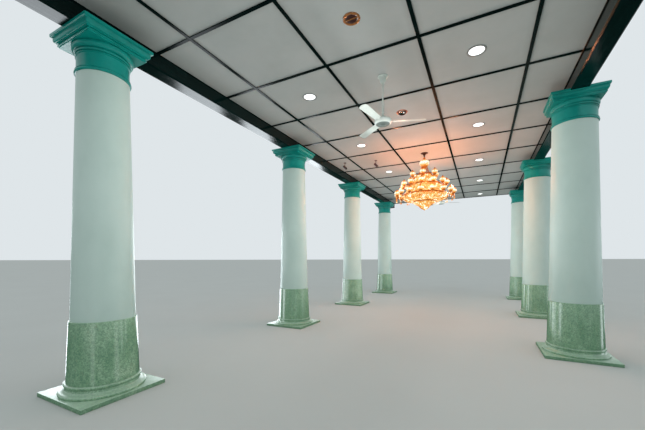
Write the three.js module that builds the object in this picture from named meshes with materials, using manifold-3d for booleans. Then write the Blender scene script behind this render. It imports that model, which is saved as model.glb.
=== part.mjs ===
// Prayer hall colonnade: two rows of four masonry columns, the two timber beams that they
// carry, and the boarded ceiling field between the beams with its chandelier and two fans.
// Millimetres, +Z up. The origin is on the floor under the middle of the ceiling field,
// +Y runs along the column rows and +X across the nave.

import * as THREE from 'three';
import { mergeVertices } from 'three/addons/utils/BufferGeometryUtils.js';
import Module from 'manifold-3d';

const wasm = await Module();
wasm.setup();

// Plan of the columns and of the ceiling
const row_offset = 2540;
const column_places = [-5460, -1460, 2120, 5960];
const board_pitch = 1220;
const boards_along = 12;
const field_half = (boards_along * board_pitch) / 2;

// Heights of the parts of a column above the floor. The capitals of the left row stand flush
// under their beam; those of the right row are taller by the depth that the beam is let in.
const plinth_height = 45;
const base_height = 165;
const drum_top = 816;
const beam_soffit = 3920;
const beam_let_in = { left: 0, right: 30 };
const abacus_height = 135;
const capital_height = 437;
const ceiling_height = 4120;

// Column radii and half widths. The bases are alike; above them the right row is the stouter.
const plinth_half = 440;
const base_torus_radius = 414;
const base_waist_radius = 352;
const base_ring_radius = 368;
const drum_bottom_radius = { left: 344, right: 352 };
const drum_top_radius = { left: 320, right: 336 };
const shaft_bottom_radius = { left: 309, right: 325 };
const shaft_top_radius = { left: 253, right: 281 };
const neck_radius = { left: 251, right: 279 };
const neck_ring_radius = { left: 271, right: 297 };
const bell_radius = { left: 292, right: 303 };
const abacus_half = { left: 360, right: 346 };
const abacus_overhang = { left: 60, right: 42 };
const round_sides = 20;

// Beams and ceiling timbers
const beam_width = 220;
const beam_depth = 330;
const beam_arris = 14;
const seat_clearance = 0.3;
const nave_half = row_offset - beam_width / 2;
const board_thickness = 12;
const batten_width = 42;
const batten_depth = 12;
const beam_bead = 12;
const joist_width = 50;
const joist_depth = 100;

// Recessed lights, one at the middle of a board; the two of the middle strip are smaller
const light_rim_radius = { side: 116, middle: 98 };
const light_rim_width = 18;
const light_housing_wall = 3;
const light_rim_drop = 5;
const light_lens_recess = 3;
const light_housing_height = 90;
const light_sides = 12;
const side_light_rows = [-0.5, 1.5, 3.5, 5.5, 7.5, 9.5];
const middle_light_rows = [0.5, 2.5];
const first_board_row = -2;

// Ceiling fans
const fan_rows = [1.5, 7.5];
const fan_rose_radius = 76;
const fan_rose_height = 96;
const fan_rod_radius = 9;
const fan_shaft_radius = 12;
const fan_shaft_play = 0.6;
const fan_motor_radius = 121;
const fan_motor_top = 3520;
const fan_motor_bottom = 3425;
const fan_blade_reach = 610;
const fan_blade_width = 120;
const fan_blade_thickness = 3;
const fan_blade_pitch = THREE.MathUtils.degToRad(11);
const fan_blades = 3;
const fan_turn = THREE.MathUtils.degToRad(20);
const fan_iron_width = 34;
const fan_running_gap = 6;
const fan_collar_radius = 36;
const fan_cap_radius = 32;
const fan_sides = 18;

// Chandelier
const chandelier_row = 4.5;
const chandelier_turn = THREE.MathUtils.degToRad(2);
const upper_ring = { top: 3583, radius: 184, depth: 25 };
const middle_ring = { top: 3334, radius: 384, depth: 25 };
const lower_ring = { top: 3090, radius: 508, depth: 28 };
const upper_lamps = { count: 6, circle: 301, base: 3523 };
const middle_lamps = { count: 12, circle: 519, base: 3283 };
const lower_lamps = { count: 16, circle: 676, base: 3046 };
const bowl_radius = 538;
const bowl_band_radius = 275;
const bowl_bottom = 2686;
const shade_radius = 70;
const shade_height = 182;
const arm_radius = 8;
const stem_sides = 14;
const tier_sides = 24;
const shade_sides = 7;

// Stem spotlights
const spot_places = [[-2070, 410], [-1250, 600]];
const spot_drop = 125;
const spot_plate_radius = 38;
const spot_stem_radius = 7;
const spot_can_radius = 30;
const spot_can_length = 130;
const spot_tilt = THREE.MathUtils.degToRad(45);

const marble = { color: 0x7f9f88, roughness: 0.3, metalness: 0 };
const mint_paint = { color: 0xc4d2c8, roughness: 0.55, metalness: 0 };
const jade_paint = { color: 0x14786b, roughness: 0.4, metalness: 0 };
const dark_paint = { color: 0x0c2422, roughness: 0.25, metalness: 0 };
const board_paint = { color: 0xb9bdb8, roughness: 0.85, metalness: 0 };
const bare_timber = { color: 0x9a7b55, roughness: 0.8, metalness: 0 };
const white_enamel = { color: 0xd8dbd4, roughness: 0.35, metalness: 0.2 };
const amber_glass = { color: 0xf0a848, roughness: 0.15, metalness: 0 };
const gilt_brass = { color: 0x9a4f1c, roughness: 0.3, metalness: 1 };

const colonnade = new THREE.Group();

function add_piece(name, geometry, finish, place = [0, 0, 0]) {
  const mesh = new THREE.Mesh(geometry, new THREE.MeshStandardMaterial(finish));
  mesh.name = name;
  mesh.position.set(...place);
  colonnade.add(mesh);
}

// Solids are joined and cut as closed meshes with shared vertices.

function to_solid(geometry) {
  const bare = geometry.clone();
  bare.deleteAttribute('normal');
  bare.deleteAttribute('uv');
  const welded = mergeVertices(bare, 1e-4);
  const kept = [];
  const index = welded.index.array;
  for (let corner = 0; corner < index.length; corner += 3) {
    const [a, b, c] = index.slice(corner, corner + 3);
    if (a !== b && b !== c && a !== c) kept.push(a, b, c);
  }
  return new wasm.Manifold(new wasm.Mesh({
    numProp: 3,
    vertProperties: new Float32Array(welded.attributes.position.array),
    triVerts: new Uint32Array(kept),
  }));
}

function to_geometry(solid) {
  const mesh = solid.getMesh();
  const geometry = new THREE.BufferGeometry();
  geometry.setAttribute('position', new THREE.BufferAttribute(mesh.vertProperties, 3));
  geometry.setIndex(new THREE.BufferAttribute(mesh.triVerts, 1));
  geometry.computeVertexNormals();
  return geometry;
}

// Shapes

function box_between(low, high) {
  const size = high.map((value, axis) => value - low[axis]);
  const box = new THREE.BoxGeometry(...size);
  box.translate((low[0] + high[0]) / 2, (low[1] + high[1]) / 2, (low[2] + high[2]) / 2);
  return box;
}

// A turned solid from [radius, height] points that start and end on the axis, or that close.
function turned(points, sides) {
  const profile = points.map(([radius, height]) => new THREE.Vector2(radius, height));
  const geometry = new THREE.LatheGeometry(profile, sides);
  geometry.rotateX(Math.PI / 2);
  return geometry;
}

// The same from points listed from the ceiling down.
function turned_down(points, sides) {
  return turned([...points].reverse(), sides);
}

function join(geometries) {
  return to_geometry(geometries.map(to_solid).reduce((whole, next) => whole.add(next)));
}

// Columns: a marble base on a square plinth, a polished marble drum, a painted shaft that
// tapers straight, and a capital of a ringed neck, a bell and a moulded square abacus.

function base_shape() {
  const plinth = box_between([-plinth_half, -plinth_half, 0], [plinth_half, plinth_half, plinth_height]);
  const mouldings = turned([
    [0, plinth_height / 2],
    [base_torus_radius, plinth_height / 2],
    [base_torus_radius, plinth_height + 14],
    [base_torus_radius - 16, plinth_height + 32],
    [base_waist_radius + 16, plinth_height + 50],
    [base_waist_radius, plinth_height + 78],
    [base_ring_radius, base_height - 34],
    [base_ring_radius, base_height],
    [0, base_height],
  ], round_sides);
  return join([plinth, mouldings]);
}

function drum_shape(row) {
  return turned([
    [0, base_height],
    [drum_bottom_radius[row], base_height],
    [drum_top_radius[row], drum_top - 8],
    [drum_top_radius[row] - 7, drum_top],
    [0, drum_top],
  ], round_sides);
}

function shaft_shape(row, shaft_top) {
  return turned([
    [0, drum_top],
    [shaft_bottom_radius[row], drum_top],
    [shaft_top_radius[row], shaft_top],
    [0, shaft_top],
  ], round_sides);
}

// The profile of the abacus as [share of the overhang, rise], from its foot to its top.
const abacus_mouldings = [
  [1, 0],
  [0.88, 24],
  [0.76, 29],
  [0.7, 60],
  [0.3, 86],
  [0.05, 102],
  [0, 106],
  [0, abacus_height],
];

function abacus_outline(row, abacus_bottom) {
  const profile = abacus_mouldings.map(([share, rise]) => {
    const half_width = abacus_half[row] - share * abacus_overhang[row];
    return [half_width * Math.SQRT2, abacus_bottom + rise];
  });
  return [[0, abacus_bottom], ...profile, [0, abacus_bottom + abacus_height]];
}

function capital_shape(row, shaft_top) {
  const abacus_top = shaft_top + capital_height;
  const abacus_bottom = abacus_top - abacus_height;
  const neck = neck_radius[row];
  const bell = bell_radius[row];
  const neck_and_bell = turned([
    [0, shaft_top],
    [neck_ring_radius[row], shaft_top],
    [neck_ring_radius[row], shaft_top + 30],
    [neck, shaft_top + 44],
    [neck, abacus_bottom - 112],
    [neck + 13, abacus_bottom - 102],
    [neck + 15, abacus_bottom - 76],
    [bell, abacus_bottom - 22],
    [bell, abacus_bottom + 6],
    [0, abacus_bottom + 6],
  ], round_sides);
  const abacus = turned(abacus_outline(row, abacus_bottom), 4);
  abacus.rotateZ(Math.PI / 4);
  const beam_seat = box_between(
    [-beam_width / 2 - seat_clearance, -2 * abacus_half[row], beam_soffit],
    [beam_width / 2 + seat_clearance, 2 * abacus_half[row], abacus_top + 10],
  );
  const whole = to_solid(neck_and_bell).add(to_solid(abacus));
  if (abacus_top === beam_soffit) return to_geometry(whole);
  return to_geometry(whole.subtract(to_solid(beam_seat)));
}

const base_geometry = base_shape();

for (const [row, side] of [['left', -1], ['right', 1]]) {
  const shaft_top = beam_soffit + beam_let_in[row] - capital_height;
  const drum_geometry = drum_shape(row);
  const shaft_geometry = shaft_shape(row, shaft_top);
  const capital_geometry = capital_shape(row, shaft_top);
  column_places.forEach((place, index) => {
    const foot = [side * row_offset, place, 0];
    const column = `${row}_column_${index + 1}`;
    add_piece(`${column}_base`, base_geometry, marble, foot);
    add_piece(`${column}_drum`, drum_geometry, marble, foot);
    add_piece(`${column}_shaft`, shaft_geometry, mint_paint, foot);
    add_piece(`${column}_capital`, capital_geometry, jade_paint, foot);
  });
}

// Beams: one on each row, resting on the capitals, with both lower arrises taken off.

function beam_shape() {
  const half = beam_width / 2;
  const section = new THREE.Shape();
  section.moveTo(-half + beam_arris, 0);
  section.lineTo(half - beam_arris, 0);
  section.lineTo(half, beam_arris);
  section.lineTo(half, beam_depth);
  section.lineTo(-half, beam_depth);
  section.lineTo(-half, beam_arris);
  section.closePath();
  const beam = new THREE.ExtrudeGeometry(section, { depth: 2 * field_half, bevelEnabled: false });
  beam.rotateX(Math.PI / 2);
  beam.translate(0, field_half, beam_soffit);
  return beam;
}

for (const [row, side] of [['left', -1], ['right', 1]]) {
  add_piece(`${row}_beam`, beam_shape(), dark_paint, [side * row_offset, 0, 0]);
}

// Ceiling boards: five strips between the beams, with the rim, lens and housing of each
// recessed light.
// Places along the hall are counted in boards from the fifth board line before the middle.

const board_lines = [-1.5, -0.5, 0.5, 1.5].map((step) => step * board_pitch);
const strip_edges = [-nave_half, ...board_lines, nave_half];
const row_to_y = (row) => (row - first_board_row) * board_pitch - field_half;

function light_disc(x, y, bottom, radius, top) {
  const disc = new THREE.CylinderGeometry(radius, radius, top - bottom, light_sides);
  disc.rotateX(Math.PI / 2);
  disc.translate(x, y, (top + bottom) / 2);
  return to_solid(disc);
}

function board_strip(from, to, light_rows, rim_radius) {
  const middle = (from + to) / 2;
  const lens_radius = rim_radius - light_rim_width;
  const housing_radius = lens_radius + light_housing_wall;
  const rim_bottom = ceiling_height - light_rim_drop;
  const inside_board = ceiling_height + board_thickness / 2;
  const housing_top = ceiling_height + light_housing_height;
  const lens_height = ceiling_height + light_lens_recess;
  let strip = to_solid(box_between(
    [from, -field_half, ceiling_height],
    [to, field_half, ceiling_height + board_thickness],
  ));
  for (const row of light_rows) {
    const y = row_to_y(row);
    strip = strip
      .add(light_disc(middle, y, rim_bottom, rim_radius, inside_board))
      .add(light_disc(middle, y, inside_board, housing_radius, housing_top))
      .subtract(light_disc(middle, y, rim_bottom - 5, lens_radius, lens_height));
  }
  return to_geometry(strip);
}

const strip_names = ['far_left', 'left', 'middle', 'right', 'far_right'];
const strip_lights = [[], side_light_rows, middle_light_rows, side_light_rows, []];
strip_names.forEach((name, index) => {
  const rim_radius = name === 'middle' ? light_rim_radius.middle : light_rim_radius.side;
  const strip = board_strip(strip_edges[index], strip_edges[index + 1], strip_lights[index], rim_radius);
  add_piece(`ceiling_boards_${name}`, strip, board_paint);
});

// Cover battens under the board joints, halved into one flat grid between the beams.

const line_to_y = (line) => line * board_pitch - field_half;

function batten_grid() {
  const half = batten_width / 2;
  const bottom = ceiling_height - batten_depth;
  let grid = to_solid(box_between(
    [-nave_half, -field_half, bottom],
    [nave_half, field_half, ceiling_height],
  ));
  const side_edges = [-nave_half + beam_bead - half, ...board_lines, nave_half - beam_bead + half];
  for (let line = 0; line < boards_along; line += 1) {
    const front = line_to_y(line) + (line === 0 ? batten_width : half);
    const back = line_to_y(line + 1) - (line === boards_along - 1 ? batten_width : half);
    side_edges.slice(0, -1).forEach((edge, index) => {
      const opening = box_between(
        [edge + half, front, bottom - 5],
        [side_edges[index + 1] - half, back, ceiling_height + 5],
      );
      grid = grid.subtract(to_solid(opening));
    });
  }
  return to_geometry(grid);
}

add_piece('cover_battens', batten_grid(), dark_paint);

// Joists over the boards, notched over a wall plate along each beam.

const last_joist = field_half - joist_width / 2;
const joist_bottom = ceiling_height + board_thickness;
const plate_middle = nave_half - joist_width / 2;

function wall_plate(middle) {
  return box_between(
    [middle - joist_width / 2, -last_joist, joist_bottom],
    [middle + joist_width / 2, last_joist, joist_bottom + joist_depth / 2],
  );
}

function joist(line) {
  const middle = THREE.MathUtils.clamp(line_to_y(line), -last_joist, last_joist);
  return box_between(
    [seat_clearance - nave_half, middle - joist_width / 2, joist_bottom],
    [nave_half - seat_clearance, middle + joist_width / 2, joist_bottom + joist_depth],
  );
}

const joists = [];
for (let line = 0; line <= boards_along; line += 1) joists.push(joist(line));
const joist_grid = join([wall_plate(-plate_middle), wall_plate(plate_middle), ...joists]);
add_piece('ceiling_joists', joist_grid, bare_timber);

// Ceiling fans: a fixed rose, rod, shaft and end cap, and round the shaft a motor case that
// carries three pitched blades on flat irons.

function fan_rod_shape() {
  const rose_bottom = ceiling_height - fan_rose_height;
  const collar_bottom = fan_motor_top + fan_running_gap;
  const cap_top = fan_motor_bottom - seat_clearance;
  return turned_down([
    [0, ceiling_height],
    [fan_rose_radius, ceiling_height],
    [fan_rose_radius, ceiling_height - 9],
    [fan_rose_radius - 23, ceiling_height - 17],
    [fan_rose_radius - 31, ceiling_height - 62],
    [fan_rose_radius - 50, rose_bottom],
    [fan_rod_radius, rose_bottom],
    [fan_rod_radius, collar_bottom + 46],
    [fan_collar_radius, collar_bottom + 34],
    [fan_collar_radius, collar_bottom],
    [fan_shaft_radius, collar_bottom],
    [fan_shaft_radius, cap_top],
    [fan_cap_radius, cap_top],
    [fan_cap_radius - 4, cap_top - 12],
    [0, cap_top - 16],
  ], fan_sides);
}

function fan_blade_shape() {
  const root = fan_motor_radius + 30;
  const root_half = fan_blade_width * 0.38;
  const tip_half = fan_blade_width / 2;
  const outline = new THREE.Shape();
  outline.moveTo(root, -root_half);
  outline.lineTo(fan_blade_reach - 40, -tip_half);
  outline.quadraticCurveTo(fan_blade_reach, -tip_half, fan_blade_reach, 0);
  outline.quadraticCurveTo(fan_blade_reach, tip_half, fan_blade_reach - 40, tip_half);
  outline.lineTo(root, root_half);
  outline.closePath();
  const blade = new THREE.ExtrudeGeometry(outline, {
    depth: fan_blade_thickness,
    bevelEnabled: false,
    curveSegments: 4,
  });
  const iron = box_between(
    [fan_motor_radius - 30, -fan_iron_width / 2, -fan_blade_thickness],
    [root + 60, fan_iron_width / 2, fan_blade_thickness / 2],
  );
  const blade_and_iron = join([blade, iron]);
  blade_and_iron.rotateX(fan_blade_pitch);
  return blade_and_iron;
}

function fan_rotor_shape() {
  const bore = fan_shaft_radius + fan_shaft_play;
  const motor = turned([
    [bore, fan_motor_bottom],
    [fan_motor_radius - 30, fan_motor_bottom],
    [fan_motor_radius, fan_motor_bottom + 24],
    [fan_motor_radius, fan_motor_bottom + 60],
    [fan_motor_radius - 26, fan_motor_top - 16],
    [fan_collar_radius, fan_motor_top],
    [bore, fan_motor_top],
    [bore, fan_motor_bottom],
  ], fan_sides);
  let rotor = to_solid(motor);
  const blade = fan_blade_shape();
  for (let index = 0; index < fan_blades; index += 1) {
    const turned_blade = blade.clone();
    turned_blade.rotateZ(fan_turn + (index * 2 * Math.PI) / fan_blades);
    turned_blade.translate(0, 0, fan_motor_bottom + 42);
    rotor = rotor.add(to_solid(turned_blade));
  }
  return to_geometry(rotor);
}

fan_rows.forEach((row, index) => {
  const place = [0, row_to_y(row), 0];
  add_piece(`fan_${index + 1}_rod`, fan_rod_shape(), white_enamel, place);
  add_piece(`fan_${index + 1}_rotor`, fan_rotor_shape(), white_enamel, place);
});

// Chandelier: a stem with a glass vase and a flared basket, three tiers of flame shades on
// curved arms round widening skirts, and a bowl that closes in to a drop.

function chandelier_stem() {
  const basket_top = 3786;
  const vase_top = 3956;
  return turned_down([
    [0, ceiling_height],
    [90, ceiling_height],
    [88, ceiling_height - 14],
    [52, ceiling_height - 58],
    [22, ceiling_height - 80],
    [14, vase_top + 66],
    [33, vase_top + 54],
    [33, vase_top + 22],
    [18, vase_top + 8],
    [56, vase_top],
    [106, vase_top - 46],
    [116, vase_top - 94],
    [104, vase_top - 134],
    [72, basket_top],
    [82, basket_top - 20],
    [98, basket_top - 86],
    [124, basket_top - 140],
    [upper_ring.radius - 14, upper_ring.top + 14],
    [upper_ring.radius - 14, upper_ring.top],
    [0, upper_ring.top],
  ], stem_sides);
}

function tier_skirt(ring, next_ring) {
  const band_bottom = ring.top - ring.depth;
  const reach = next_ring.radius - ring.radius;
  const drop = band_bottom - next_ring.top;
  return turned_down([
    [0, ring.top],
    [ring.radius, ring.top],
    [ring.radius, band_bottom],
    [ring.radius + reach * 0.18, band_bottom - drop * 0.3],
    [ring.radius + reach * 0.52, band_bottom - drop * 0.7],
    [next_ring.radius - 14, next_ring.top],
    [0, next_ring.top],
  ], tier_sides);
}

function lamp(tier, ring) {
  const shade = turned([
    [0, 0],
    [27, 4],
    [29, 30],
    [shade_radius, 78],
    [shade_radius - 12, 110],
    [17, 148],
    [0, shade_height],
  ], shade_sides);
  shade.translate(tier.circle, 0, tier.base);
  const start = new THREE.Vector3(ring.radius - 12, 0, ring.top - ring.depth / 2);
  const bend = new THREE.Vector3(tier.circle - 20, 0, tier.base - 60);
  const end = new THREE.Vector3(tier.circle, 0, tier.base + 12);
  const section = new THREE.Shape();
  section.absarc(0, 0, arm_radius, 0, 2 * Math.PI);
  const arm = new THREE.ExtrudeGeometry(section, {
    steps: 4,
    curveSegments: 3,
    bevelEnabled: false,
    extrudePath: new THREE.QuadraticBezierCurve3(start, bend, end),
  });
  return [shade, arm];
}

// The lamps stand evenly round a tier.
function lamps_on(tier, ring) {
  const pieces = [];
  for (let index = 0; index < tier.count; index += 1) {
    const turn = chandelier_turn - Math.PI / 2 + (index * 2 * Math.PI) / tier.count;
    for (const piece of lamp(tier, ring)) {
      piece.rotateZ(turn);
      pieces.push(piece);
    }
  }
  return pieces;
}

function lower_tier_shape() {
  const bottom = lower_ring.top - lower_ring.depth;
  const disc = turned_down([
    [0, lower_ring.top],
    [lower_ring.radius, lower_ring.top],
    [lower_ring.radius, bottom],
    [0, bottom],
  ], tier_sides);
  return join([disc, ...lamps_on(lower_lamps, lower_ring)]);
}

function bowl_shape() {
  const top = lower_ring.top - lower_ring.depth;
  return turned_down([
    [0, top],
    [lower_ring.radius - 6, top],
    [bowl_radius, top - 18],
    [bowl_radius - 6, top - 64],
    [bowl_radius - 66, top - 109],
    [bowl_radius - 138, top - 132],
    [bowl_band_radius, top - 152],
    [bowl_band_radius, top - 172],
    [bowl_band_radius - 8, top - 188],
    [178, top - 234],
    [136, top - 269],
    [96, top - 314],
    [40, top - 348],
    [0, bowl_bottom],
  ], tier_sides);
}

const upper_tier_shape = join([
  tier_skirt(upper_ring, middle_ring),
  ...lamps_on(upper_lamps, upper_ring),
]);
const middle_tier_shape = join([
  tier_skirt(middle_ring, lower_ring),
  ...lamps_on(middle_lamps, middle_ring),
]);
const chandelier_place = [0, row_to_y(chandelier_row), 0];
add_piece('chandelier_stem', chandelier_stem(), gilt_brass, chandelier_place);
add_piece('chandelier_upper_tier', upper_tier_shape, amber_glass, chandelier_place);
add_piece('chandelier_middle_tier', middle_tier_shape, amber_glass, chandelier_place);
add_piece('chandelier_lower_tier', lower_tier_shape(), amber_glass, chandelier_place);
add_piece('chandelier_bowl', bowl_shape(), amber_glass, chandelier_place);

// Two small spotlights on short stems under the boards, each with a tilted can.

function spot_shape() {
  const stem_bottom = ceiling_height - spot_drop;
  const plate_and_stem = turned_down([
    [0, ceiling_height],
    [spot_plate_radius, ceiling_height],
    [spot_plate_radius, ceiling_height - 10],
    [spot_stem_radius, ceiling_height - 12],
    [spot_stem_radius, stem_bottom],
    [0, stem_bottom],
  ], light_sides);
  const can = turned([
    [0, -spot_can_length / 2],
    [spot_can_radius, -spot_can_length / 2],
    [spot_can_radius, spot_can_length / 2 - 16],
    [spot_can_radius - 14, spot_can_length / 2],
    [0, spot_can_length / 2],
  ], light_sides);
  can.rotateY(-spot_tilt);
  can.translate(0, 0, stem_bottom);
  return join([plate_and_stem, can]);
}

spot_places.forEach(([x, y], index) => {
  add_piece(`spotlight_${index + 1}`, spot_shape(), dark_paint, [x, y, 0]);
});

export default colonnade;
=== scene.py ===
import math
import random

import bmesh
import bpy
from mathutils import Matrix, Vector


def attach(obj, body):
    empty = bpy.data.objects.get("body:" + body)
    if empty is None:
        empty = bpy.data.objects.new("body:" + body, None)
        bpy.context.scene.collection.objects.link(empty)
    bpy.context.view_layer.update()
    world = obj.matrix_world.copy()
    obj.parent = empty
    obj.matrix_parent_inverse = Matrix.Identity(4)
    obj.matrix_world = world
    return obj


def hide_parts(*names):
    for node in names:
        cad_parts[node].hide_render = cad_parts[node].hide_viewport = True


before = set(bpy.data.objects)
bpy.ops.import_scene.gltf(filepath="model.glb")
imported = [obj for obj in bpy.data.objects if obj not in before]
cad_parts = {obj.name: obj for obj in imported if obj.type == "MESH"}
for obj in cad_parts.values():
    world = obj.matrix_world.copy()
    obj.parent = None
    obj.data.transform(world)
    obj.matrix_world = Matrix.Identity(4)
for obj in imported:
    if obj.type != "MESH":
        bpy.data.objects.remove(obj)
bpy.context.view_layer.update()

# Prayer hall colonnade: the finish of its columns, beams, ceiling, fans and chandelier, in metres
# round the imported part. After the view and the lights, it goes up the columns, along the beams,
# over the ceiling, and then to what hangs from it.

# View
# The photograph's view from just inside the near end of the nave: level, turned to the left,
# with the picture raised so that the horizon lies below its middle.
photo_width = 645
photo_height = 430
photo_horizon_row = 259.1
photo_focal_length = 309.2
sensor_width = 36.0
camera_place = Vector((1.272, -7.448, 1.473))
camera_turn = math.radians(27.23)
camera_roll = math.radians(-0.117)

camera_data = bpy.data.cameras.new("photo_camera")
camera_data.sensor_width = sensor_width
camera_data.lens = photo_focal_length / photo_width * sensor_width
camera_data.shift_y = (photo_horizon_row - photo_height / 2) / photo_width
camera = bpy.data.objects.new("photo_camera", camera_data)
camera.matrix_world = (
    Matrix.Translation(camera_place)
    @ Matrix.Rotation(camera_turn, 4, "Z")
    @ Matrix.Rotation(math.radians(90), 4, "X")
    @ Matrix.Rotation(camera_roll, 4, "Z")
)
bpy.context.scene.collection.objects.link(camera)
bpy.context.scene.camera = camera

# Floor and lights
# A plain pale floor under an even pale sky. Long soft panels down the nave and along the two rows
# of lamps light the columns, and a low one lights the ceiling. Only reflections see the bright
# panels at the sides and at the far end, the narrow glint panels, and the dark ground.
floor_colour = (0.50, 0.52, 0.50)
floor_half = 4000
sky_colour = (0.88, 0.94, 0.97)
sky_strength = 0.84
ground_colour = (0.020, 0.055, 0.045)
ground_rise = -0.02
panel_colour = (0.97, 0.99, 1.0)
side_panel_size = (1.6, 3.4)
side_panel_height = 0.9
side_panel_colour = (0.88, 0.95, 1.0)
side_panels = [
    (-6.3, -4.45, 125), (-6.3, -0.75, 125), (-6.3, 1.9, 125), (-6.3, 6.3, 125),
    (7.5, 0.3, 52), (7.5, 5.0, 52),
]
glint_panels = [(0.7, -4.9, 0.8, 8), (-1.0, -8.4, 1.5, 16)]
glint_panel_height = 2.0
glint_panel_aim = -9
far_panel_place = (5.8, 13.0, 3.3)
far_panel_size = (5.0, 3.4)
far_panel_power = 180
nave_panel_height = 2.6
nave_panel_side = 0.35
nave_panel_size = (13.0, 1.5)
nave_panel_power = 88
lamp_row_side = 1.22
lamp_row_height = 4.05
lamp_row_size = (0.2, 13.0)
lamp_row_power = 34
low_panel_place = (0, 3.4, 0.25)
low_panel_aim = (0, 3.4, 4.0)
low_panel_size = (4.4, 8.0)
low_panel_power = 42


def new_finish(name):
    """A new material with its node tree and its surface shader."""
    material = bpy.data.materials.new(name)
    material.use_nodes = True
    return material, material.node_tree, material.node_tree.nodes["Principled BSDF"]


def place_on_part(tree, stretch=(1, 1, 1)):
    """The place on the part in metres, times a stretch along each axis."""
    place = tree.nodes.new("ShaderNodeTexCoord")
    mapping = tree.nodes.new("ShaderNodeMapping")
    mapping.inputs["Scale"].default_value = stretch
    tree.links.new(place.outputs["Object"], mapping.inputs["Vector"])
    return mapping.outputs["Vector"]


def mottle(tree, place, scale, detail=4.0, roughness=0.55, distortion=0.0):
    """Soft uneven patches, so many to the metre."""
    node = tree.nodes.new("ShaderNodeTexNoise")
    node.inputs["Scale"].default_value = scale
    node.inputs["Detail"].default_value = detail
    node.inputs["Roughness"].default_value = roughness
    node.inputs["Distortion"].default_value = distortion
    tree.links.new(place, node.inputs["Vector"])
    return node.outputs["Fac"]


def colour_steps(tree, factor, steps):
    """Colours along a factor, from (position, colour) steps."""
    node = tree.nodes.new("ShaderNodeValToRGB")
    for _ in range(len(steps) - len(node.color_ramp.elements)):
        node.color_ramp.elements.new(0.5)
    for element, (position, colour) in zip(node.color_ramp.elements, steps):
        element.position = position
        element.color = (*colour, 1.0)
    tree.links.new(factor, node.inputs["Fac"])
    return node.outputs["Color"]


def grey_steps(tree, factor, steps):
    """Greys along a factor, to serve as the amount of a second coat."""
    return colour_steps(tree, factor, [(position, (grey, grey, grey)) for position, grey in steps])


def lay_over(tree, amount, under, over):
    """One colour laid over another by an amount."""
    node = tree.nodes.new("ShaderNodeMix")
    node.data_type = "RGBA"
    for socket, value in zip((node.inputs[0], node.inputs[6], node.inputs[7]), (amount, under, over)):
        if isinstance(value, bpy.types.NodeSocket):
            tree.links.new(value, socket)
        elif isinstance(value, tuple):
            socket.default_value = (*value, 1.0)
        else:
            socket.default_value = value
    return node.outputs[2]


def spread(tree, factor, low, high):
    """A factor from 0 to 1 spread over a range of numbers."""
    node = tree.nodes.new("ShaderNodeMapRange")
    node.inputs["To Min"].default_value = low
    node.inputs["To Max"].default_value = high
    tree.links.new(factor, node.inputs["Value"])
    return node.outputs["Result"]


def relief(tree, shader, height, depth, strength):
    """A relief so many metres deep on the surface."""
    node = tree.nodes.new("ShaderNodeBump")
    node.inputs["Distance"].default_value = depth
    node.inputs["Strength"].default_value = strength
    tree.links.new(height, node.inputs["Height"])
    tree.links.new(node.outputs["Normal"], shader.inputs["Normal"])


def number_step(tree, how, first, second):
    """One step of arithmetic on numbers, each a socket or a value."""
    node = tree.nodes.new("ShaderNodeMath")
    node.operation = how
    for socket, value in zip(node.inputs, (first, second)):
        if isinstance(value, bpy.types.NodeSocket):
            tree.links.new(value, socket)
        else:
            socket.default_value = value
    return node.outputs["Value"]


pale_floor, tree, shader = new_finish("pale_floor")
cloud = mottle(tree, place_on_part(tree), 0.6, 3)
paler_floor = tuple(channel * 1.03 for channel in floor_colour)
floor_tones = colour_steps(tree, cloud, [(0.3, floor_colour), (0.7, paler_floor)])
tree.links.new(floor_tones, shader.inputs["Base Color"])
shader.inputs["Roughness"].default_value = 0.75
shader.inputs["Specular IOR Level"].default_value = 0
floor_sheet = bmesh.new()
bmesh.ops.create_grid(floor_sheet, x_segments=1, y_segments=1, size=floor_half)
floor_data = bpy.data.meshes.new("floor")
floor_sheet.to_mesh(floor_data)
floor_sheet.free()
floor_data.materials.append(pale_floor)
floor = bpy.data.objects.new("floor", floor_data)
bpy.context.scene.collection.objects.link(floor)
floor.visible_glossy = False

sky = bpy.data.worlds.new("pale_sky")
sky.use_nodes = True
way = sky.node_tree.nodes.new("ShaderNodeTexCoord")
rise = sky.node_tree.nodes.new("ShaderNodeSeparateXYZ")
sky.node_tree.links.new(way.outputs["Generated"], rise.inputs["Vector"])
above_floor = number_step(sky.node_tree, "GREATER_THAN", rise.outputs["Z"], ground_rise)
around = lay_over(sky.node_tree, above_floor, ground_colour, sky_colour)
sky.node_tree.links.new(around, sky.node_tree.nodes["Background"].inputs["Color"])
sky.node_tree.nodes["Background"].inputs["Strength"].default_value = sky_strength
bpy.context.scene.world = sky
bpy.context.scene.view_settings.view_transform = "Standard"


def hang_light(name, data, place, aim=None):
    """Puts a light in the scene, out of the camera's sight."""
    light = bpy.data.objects.new(name, data)
    light.location = place
    if aim:
        light.rotation_mode = "QUATERNION"
        light.rotation_quaternion = (Vector(aim) - Vector(place)).to_track_quat("-Z", "Y")
    light.visible_camera = False
    bpy.context.scene.collection.objects.link(light)
    return light


def soft_panel(name, place, aim, size, power):
    """An upright rectangular light."""
    data = bpy.data.lights.new(name, "AREA")
    data.shape = "RECTANGLE"
    data.size, data.size_y = size
    data.energy = power
    data.color = panel_colour
    return hang_light(name, data, place, aim)


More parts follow.
